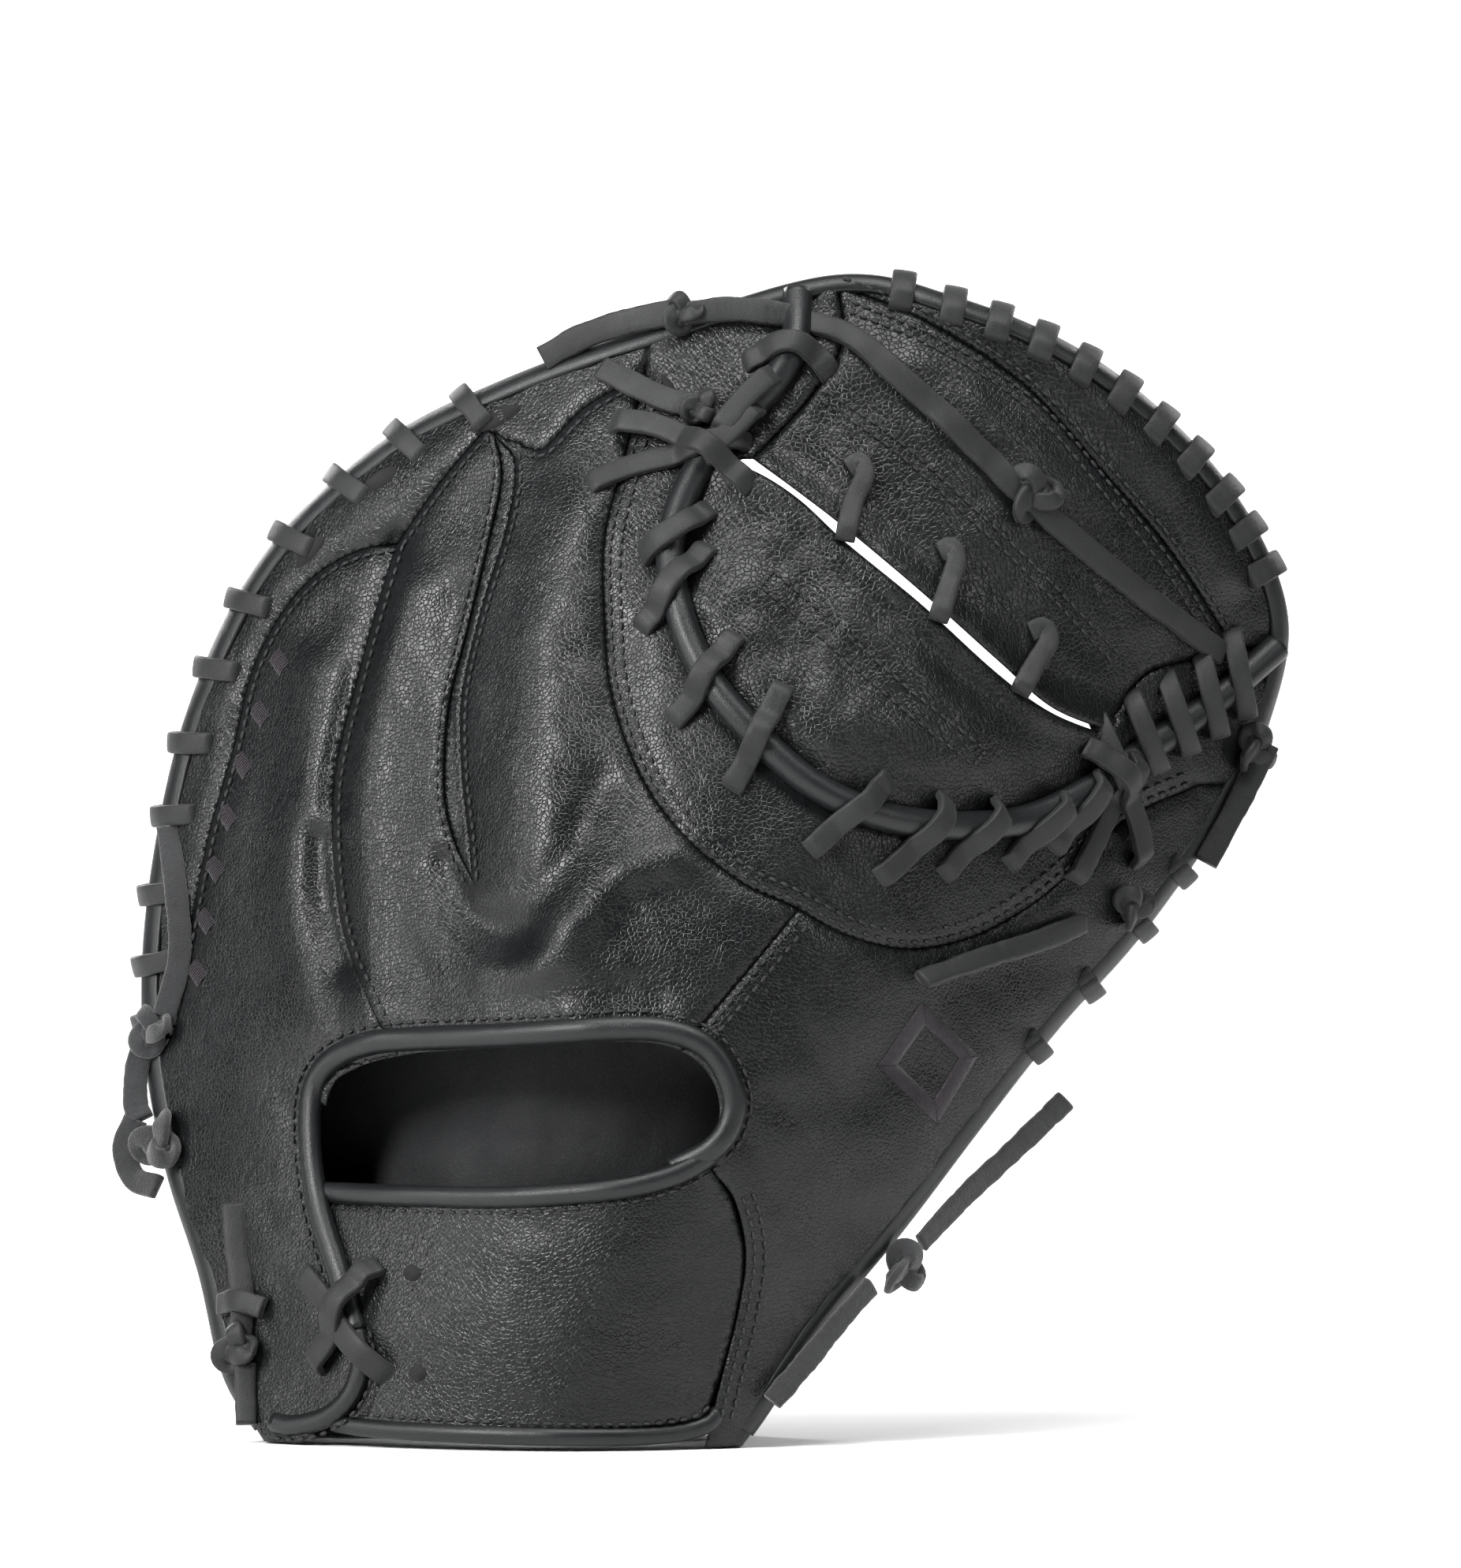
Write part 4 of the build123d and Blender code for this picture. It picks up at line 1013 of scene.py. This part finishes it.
# Loops that go right round the thick end of the welt: place, and lean along it
END_LOOPS = [(112, 184, 0.1), (121, 189.5, 0.15), (130, 194.5, 0.2), (139, 199.5, 0.3), (147, 205, 0.35)]
along = np.array([0.86, 0.5]) / np.hypot(0.86, 0.5)
outwards = np.array([0, -1, 0])
turn = np.linspace(0, 2 * math.pi, 26, endpoint=False)[:, None]
for x, z, lean in END_LOOPS:
    y = smooth_skin(np.array([float(x)]), np.array([float(z)]))[0]
    sideways = np.array([-along[1] + lean * along[0], 0, along[0] + lean * along[1]])
    ring = np.array([x, y - 0.5, z]) + 11.0 * np.cos(turn) * sideways + 6.2 * np.sin(turn) * outwards
    facing = 0.6 * np.cos(turn) * sideways + np.sin(turn) * outwards
    welt_laces.add(*sweep(ring, strap_profile(5.6, 2.0), facing, closed=True))
# Loops at the upper end of the welt
for ends in ([(12, 288.5), (22, 292), (31, 290.5), (36, 286)], [(6, 268), (13, 277), (21, 285)],
             [(2, 262), (9, 268), (16, 276)]):
    welt_laces.add(*over_welt(ends, seed=20))
welt_lace = welt_laces.make("welt_laces", RAWHIDE)
over_fold(welt_lace, "lace_leather", "welt_lace_finger_side", "welt_lace_thumb_side")

cross_top = Shape()
cross_top.add(*over_welt([(-30, 255.5), (-18, 260.5), (-4, 264), (14, 267.5)], seed=3))
cross_top.add(*over_welt([(-22.5, 272.5), (-10, 270.5), (2, 264.5), (14.5, 255)], 2.4, seed=4))
on_body(cross_top.make("upper_crossed_laces", RAWHIDE), "fingers", "lace_leather", "upper_x_lace")

cross_low = Shape()
cross_low.add(*over_welt([(101, 149), (107, 161), (112, 172), (116, 183)], seed=5))
cross_low.add(*over_welt([(104, 186), (111, 177), (116, 166), (118.5, 153.5)], 2.4, seed=6))
on_body(cross_low.make("lower_crossed_laces", RAWHIDE), "thumb", "lace_leather", "lower_x_lace")


def over_flap(points, extra=0.0):
    """A flat lace that arches over the flap's piping."""
    line = smooth_line(points, LACE_STEP)
    height = heaped(line, joined(OPENING_PIPING[:40], FLAP_PIPING), 1.2, 0.5, 4.4, extra, 5.0)
    path, normal = at_surface(line, height)
    return sweep(path, strap_profile(LACE_W + 0.2), normal)


wrist_cross = Shape()
wrist_cross.add(*over_flap([(-106.5, 46.5), (-99, 38), (-91, 28), (-82.5, 18)]))
wrist_cross.add(*over_flap([(-102, 19.5), (-96, 28), (-92, 38), (-86, 48)], 2.4))
wrist_lace = wrist_cross.make("wrist_crossed_laces", RAWHIDE)
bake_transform(wrist_lace)
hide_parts("wrist_x_lace")


def rim_loop(x, z, lean=0.0, reach=9.0, width=5.8):
    """A flat lace that wraps over the rim from a hole in the back to one in the palm."""
    stations = [
        (reach, 2.0), (reach - 1.2, -0.4), (reach - 3.2, -1.5), (2.4, -2.2), (-0.2, -1.6), (-2.0, 0.8),
        (-2.4, 4.0), (-2.3, 7.5), (-1.2, 10.6), (1.4, 12.0), (5.4, 12.6), (9.0, 11.0),
    ]  # fmt: skip
    points = []
    for inward, depth in stations:
        p, out, t = rim_spot(x, z, inward, depth)
        q = p.copy()
        slide = lean * (inward - 4)
        q[0] += t[0] * slide
        q[2] += t[1] * slide
        points.append(q)
    path = smooth_line(points, LACE_STEP)
    side = np.array([t[0] + lean * out[0], 0, t[1] + lean * out[1]])
    tangent = np.gradient(path, axis=0)
    up = np.cross(side, tangent)
    up /= np.linalg.norm(up, axis=1)[:, None]
    if up[len(up) // 2] @ np.array([out[0], 0, out[1]]) < 0:
        up = -up
    return sweep(path, strap_profile(width, 2.1), up, scale=1 + waver(len(path), 0.05, 4.0, int(abs(x)), x))


LEFT_LOOPS = [
    (-62, 280), (-80, 271), (-97, 259), (-112, 244), (-124, 226), (-133, 207), (-139, 187), (-144, 167),
    (-148, 146), (-149.5, 127), (-150, 111),
]  # fmt: skip
WEB_LOOPS = [
    (56, 309.5), (70, 306), (83, 302), (95, 297), (106, 290.5), (117, 283), (127, 274), (136, 264),
    (144, 254), (151, 244), (156, 233),
]  # fmt: skip
loops = Shape()
for x, z in LEFT_LOOPS:
    loops.add(*rim_loop(x, z, 0.28))
on_body(loops.make("rim_laces_fingers", RAWHIDE), "fingers", "lace_leather", "rim_lace_fingers")
loops = Shape()
for x, z in WEB_LOOPS:
    loops.add(*rim_loop(x, z, 0.12, 7.0, 6.6))
web_rim_lace = loops.make("rim_laces_web", RAWHIDE)
over_fold(web_rim_lace, "lace_leather", "rim_lace_web_finger_side", "rim_lace_web_thumb_side")
loops = Shape()
for x, z in [(132, 151), (121, 137), (107, 121), (93, 104.5)]:
    loops.add(*rim_loop(x, z, -0.2, 5.0))
on_body(loops.make("rim_laces_thumb", RAWHIDE), "thumb", "lace_leather", "rim_lace_thumb")


def web_face(x, z):
    """The face that the web's own laces lie on."""
    return web_bulge(x, z) + 0.3


strand = smooth_line([
    (24, 300.5), (40, 296), (52, 287), (67, 274), (80, 261), (90, 251), (104, 239), (120, 226), (141, 210.5),
], LACE_STEP)  # fmt: skip
height = 1.4 + 1.2 * np.exp(-((distance(*strand.T, [(88, 254), (89, 254)]) / 8) ** 2))
path, up = at_surface(strand, height, web_face)
strand_shape = Shape()
strand_shape.add(*sweep(path, strap_profile(6.6, 2.2), up))


def knot(shape, x, z, size, height, turn, width, face=smooth_skin):
    """A tight knot of flat lace on the surface."""
    a = np.linspace(0, 2 * math.pi, 60, endpoint=False)
    u0 = size * (np.sin(a) + 1.55 * np.sin(2 * a))
    v0 = size * (np.cos(a) - 1.55 * np.cos(2 * a))
    u = u0 * math.cos(turn) - v0 * math.sin(turn)
    v = u0 * math.sin(turn) + v0 * math.cos(turn)
    centre, normal = at_surface([(x, z)], height, face)
    n = normal[0]
    e1 = np.cross(n, [0, 0, 1.0])
    e1 /= np.linalg.norm(e1)
    e2 = np.cross(e1, n)
    path = centre[0] + u[:, None] * e1 + v[:, None] * e2 - 1.9 * np.sin(3 * a)[:, None] * n
    lift = n + 0.5 * (np.cos(a)[:, None] * e1 + np.sin(a)[:, None] * e2)
    shape.add(*sweep(path, strap_profile(width, 2.1, 0.7), lift, closed=True))
    ball = centre[0] + 0.55 * (path - centre[0]) - 0.8 * n
    shape.add(*sweep(ball, round_profile(2.2, 8), lift, closed=True))


def ribbon(shape, points, width=LACE_W, seed=0):
    """A flat lace through 3-D points, with rough edges."""
    path = smooth_line(points, LACE_STEP)
    _, _, top = frames(path, np.tile([0, -1, 0.2], (len(path), 1)))
    scale = 1 + waver(len(path), 0.04, 3.0, seed, seed) + waver(len(path), 0.03, 1.3, seed + 1)
    shape.add(*sweep(path, strap_profile(width), top, scale=scale))


def lifted(points, heights, face=smooth_skin):
    """3-D points at given heights above (x, z) points of the back."""
    place, _ = at_surface(np.asarray(points, float), np.asarray(heights, float), face)
    return place


def strip(shape, points, heights, width=LACE_W, seed=0):
    """A loose flat lace at given heights above the back."""
    ribbon(shape, lifted(points, heights), width, seed)


knot(strand_shape, 89, 254, 2.6, 3.4, 0.5, 5.0, web_face)
strand_lace = strand_shape.make("web_strand_lace", RAWHIDE)
over_fold(strand_lace, "lace_leather", "web_strand_finger_side", "web_strand_thumb_side")

ties = Shape()
for top, foot in [((43, 259.5), (39.5, 241.5)), ((67.5, 237), (64.5, 220)), ((92, 215.5), (86.5, 200.5))]:
    top, foot = np.array(top), np.array(foot)
    middle = (top + foot) / 2
    points = [top + (-2.5, 1.0), top + (0.2, 2.0), top + (1.0, -2), middle, foot + (0, 2), foot]
    ribbon(ties, lifted(points, [0.0, 1.8, 2.8, 3.0, 2.0, 0.2], web_face), width=5.6, seed=3)
over_fold(ties.make("web_tie_laces", RAWHIDE), "lace_leather", "web_ties_finger_side", "web_tie_thumb_side")

tie = Shape()
strip(tie, [(-41, 289.5), (-31, 295), (-19, 299), (-6, 301.5)], [1.6, 1.8, 2.0, 2.6], width=7.0)
strip(tie, [(-3, 300.5), (8, 302), (17, 301.5), (26, 300.5)], [4.0, 3.2, 2.8, 2.0], width=6.6)
knot(tie, -3.5, 301, 1.8, 3.6, 0.4, 4.4)
strip(tie, [(-25.5, 287), (-15, 281.5), (-6, 277.5), (5, 276)], [1.6, 1.8, 2.2, 1.8], width=6.6)
knot(tie, 1.5, 275.5, 1.6, 3.2, 1.2, 4.2)
on_body(tie.make("upper_left_tie_laces", RAWHIDE), "fingers", "lace_leather", "upper_left_tie")

left = Shape()
knot(left, -146, 108, 2.2, 3.0, 0.3, 5.0)
knot(left, -143.5, 78, 2.6, 3.6, 1.2, 5.6)
strip(left, [(-143, 163), (-140, 145), (-139, 128), (-143, 112)], [1.2, 1.8, 1.8, 2.0], seed=2)
strip(left, [(-147, 108), (-150, 98), (-150.5, 88), (-149, 84)], [2.0, 2.6, 2.4, 2.0], width=6.6, seed=3)
strip(left, [(-150, 84), (-152.5, 76), (-150, 68), (-144, 66)], [3.0, 3.8, 3.4, 2.6], width=6.6, seed=4)
on_body(left.make("left_rim_tie_laces", SUEDE), "fingers", "lace_leather", "left_rim_knot")

low = Shape()
strip(low, [(-123.5, 62.5), (-122.5, 50), (-120.5, 38), (-121, 27)], [1.4, 1.6, 2.2, 2.4], width=6.4, seed=5)
strip(low, [(-127, 35.5), (-120.5, 36.5), (-115, 35)], [2.0, 4.6, 2.0], width=6.0, seed=6)
knot(low, -121.5, 24, 2.2, 3.4, 0.7, 5.0)
strip(low, [(-119.5, 20), (-119.5, 12), (-119, 4)], [2.6, 2.4, 2.8], width=5.6, seed=7)
on_body(low.make("lower_left_tie_laces", RAWHIDE), "fingers", "lace_leather", "lower_left_knot")

right = Shape()
knot(right, 149.5, 184.5, 2.1, 3.4, 0.9, 4.8)
strip(right, [(152, 186), (146, 173), (139.5, 160.5), (136, 154)], [4.4, 3.4, 2.8, 2.4], width=6.4, seed=8)
on_body(right.make("right_tip_tie_laces", RAWHIDE), "thumb", "lace_leather", "right_tip_knot")
low_right = Shape()
knot(low_right, 115, 143, 1.9, 3.6, 0.2, 4.6)
on_body(low_right.make("lower_crossed_knot", RAWHIDE), "thumb", "lace_leather", "lower_x_knot")
heel = Shape()
knot(heel, 53, 47, 2.4, 3.6, 0.9, 5.2)
on_body(heel.make("heel_lace_knot_suede", SUEDE), "thumb", "lace_leather", "heel_lace_knot")

# ------------------------------------------------------------- stitching and small details


finger_stitches = Shape()
for line, side in ((RIM_SEAM[16:], -2.0), (RIM_SEAM_TOP, -2.0), (INDEX_TOP, -2.2), (VALLEY, 2.4),
                   (STRIP_LEFT, -1.7), (STRIP, 1.7), (OPENING_PIPING[42:-10], 4.4)):
    stitches(finger_stitches, line, side, height=0.75)
stitches(finger_stitches, OPENING_PIPING[:42], 4.4, height=0.65)
stitches(finger_stitches, FLAP_PIPING, 3.8, height=0.65)
on_body(finger_stitches.make("finger_side_stitching", THREAD), "fingers", "embroidery_thread")

body_stitches = Shape()
for side in (1.9, 4.6):
    stitches(body_stitches, SEAM_CRESCENT, side, height=0.25)
    stitches(body_stitches, SEAM_INDEX_FOOT[:-8], side, height=0.5)
    stitches(body_stitches, STRAP_SEAM[8:-7], side + 0.4, height=0.5)
over_fold(body_stitches.make("body_stitching", THREAD), "embroidery_thread")

web_stitches = Shape()
for line in (
    [(40, 303), (64, 293), (90, 276), (111, 252), (127, 232), (138, 214)],
    [(33, 279), (52, 266), (70, 250), (90, 231), (112, 208)],
):
    for side in (0, 2.8):
        stitches(web_stitches, smooth_line(line), side, web_bulge, height=0.2)
stitches(web_stitches, WEB_SEAM, 2.2, web_bulge, height=0.2)
palm_stitches = Shape()
ring = RIM[6:-24:2] - 15 * line_normals(RIM[6:-24:2])
ring = ring[(distance(*ring.T, WELT) > 12) & ~inside(*ring.T, WEB_OUTLINE)]
for start in np.split(ring, np.where(np.linalg.norm(np.diff(ring, axis=0), axis=1) > 8)[0] + 1):
    if len(start) > 6:
        for side in (0, 2.6):
            stitches(palm_stitches, start, side, palm_skin, outward=1, pitch=4.2, length=3.3)
over_fold(palm_stitches.make("palm_stitching", THREAD), "embroidery_thread", reach=24)
box = [(17, 229), (33, 215.5), (54, 197), (74, 181)]
for side in (0, 5.2):
    stitches(web_stitches, smooth_line(box), side, web_bulge, height=0.2)
stitches(web_stitches, [(17, 229), (20.4, 233)], 0, web_bulge, pitch=2.0, length=1.6)
stitches(web_stitches, [(74, 181), (77.4, 185)], 0, web_bulge, pitch=2.0, length=1.6)
over_fold(web_stitches.make("web_stitching", THREAD), "embroidery_thread")

strap_stitches = Shape()
stitches(strap_stitches, TOP_PIPING, -4.0, strap_skin)
stitches(strap_stitches, FOOT_PIPING, 3.4, strap_skin)
on_body(strap_stitches.make("strap_stitching", THREAD), "strap", "embroidery_thread")


def dot(shape, x, z, wide, tall, turn, face=skin, lift=0.12):
    """A flat dark oval of painted shade, standing in for the shadowed mouth of a lace hole."""
    a = np.linspace(0, 2 * math.pi, 20, endpoint=False)
    u, v = wide * np.cos(a), tall * np.sin(a)
    cos, sin = math.cos(turn), math.sin(turn)
    ring = np.stack([x + u * cos - v * sin, z + u * sin + v * cos], 1)
    top, _ = at_surface(ring, lift, face)
    low, _ = at_surface(ring, -0.8, face)
    n = len(ring)
    faces = [list(range(n)), [n + j for j in range(n - 1, -1, -1)]]
    faces += [[j, (j + 1) % n, n + (j + 1) % n, n + j] for j in range(n)]
    shape.add(np.vstack([top, low]), faces)


# Painted shade: flat dark ovals where holes open in the back on the finger side
painted_hole_shade = Shape()
for hole in [
    (-74, 225, 1.6, 1.0, 0.8), (-82, 200, 1.3, 0.8, 1.2), (-84.5, 174, 1.7, 1.5, 0), (-54.5, 274, 7.5, 2.2, 0.45),
    (-86, 257.5, 5.5, 2.0, 0.6), (-105, 238, 5.5, 1.8, 0.85), (-9, 282.5, 4.5, 2.4, -0.9),
]:  # fmt: skip
    dot(painted_hole_shade, *hole)
on_body(painted_hole_shade.make("finger_side_hole_shade", HOLE_SHADE), "fingers", "back_leather")
# Painted shade: flat dark ovals where holes open in the strap
painted_hole_shade = Shape()
for x, z in [(-76, 46), (-74.5, 19.5)]:
    dot(painted_hole_shade, x, z, 2.4, 2.2, 0, strap_skin)
on_body(painted_hole_shade.make("strap_hole_shade", HOLE_SHADE), "strap", "back_leather")


def satin(shape, corners, face=skin, spacing=0.5):
    """Satin stitch: close parallel threads across a four-sided shape."""
    a, b, c, d = (np.array(p, float) for p in corners)
    count = max(3, int(np.linalg.norm(b - a) / spacing))
    for i in range(count + 1):
        t = i / count
        p, q = a + (b - a) * t, d + (c - d) * t
        line = np.stack([p + (q - p) * s for s in np.linspace(0, 1, 5)])
        height = 0.15 + 0.55 * np.sin(np.linspace(0, math.pi, 5))
        path, up = at_surface(line, height, face)
        shape.add(*sweep(path, round_profile(0.3, 5), up))


emblem = Shape()
outer = np.array([(60, 118), (75, 103), (64, 85), (48, 101)], float)
centre = outer.mean(axis=0)
inner = centre + (outer - centre) * 0.62
for i in range(4):
    j = (i + 1) % 4
    satin(emblem, [outer[i], outer[j], inner[j], inner[i]])
on_body(emblem.make("thumb_emblem_stitching", SATIN), "thumb", "embroidery_thread", "thumb_emblem")
marks = Shape()
for t in np.linspace(0, 1, 7):
    x, z = -113 - 22 * t - 3.0 * math.sin(math.pi * t), 208 - 84 * t
    satin(marks, [(x, z + 3.6), (x + 2.6, z), (x, z - 3.6), (x - 2.6, z)], spacing=0.55)
on_body(marks.make("pinky_marks_stitching", SATIN), "fingers", "embroidery_thread")
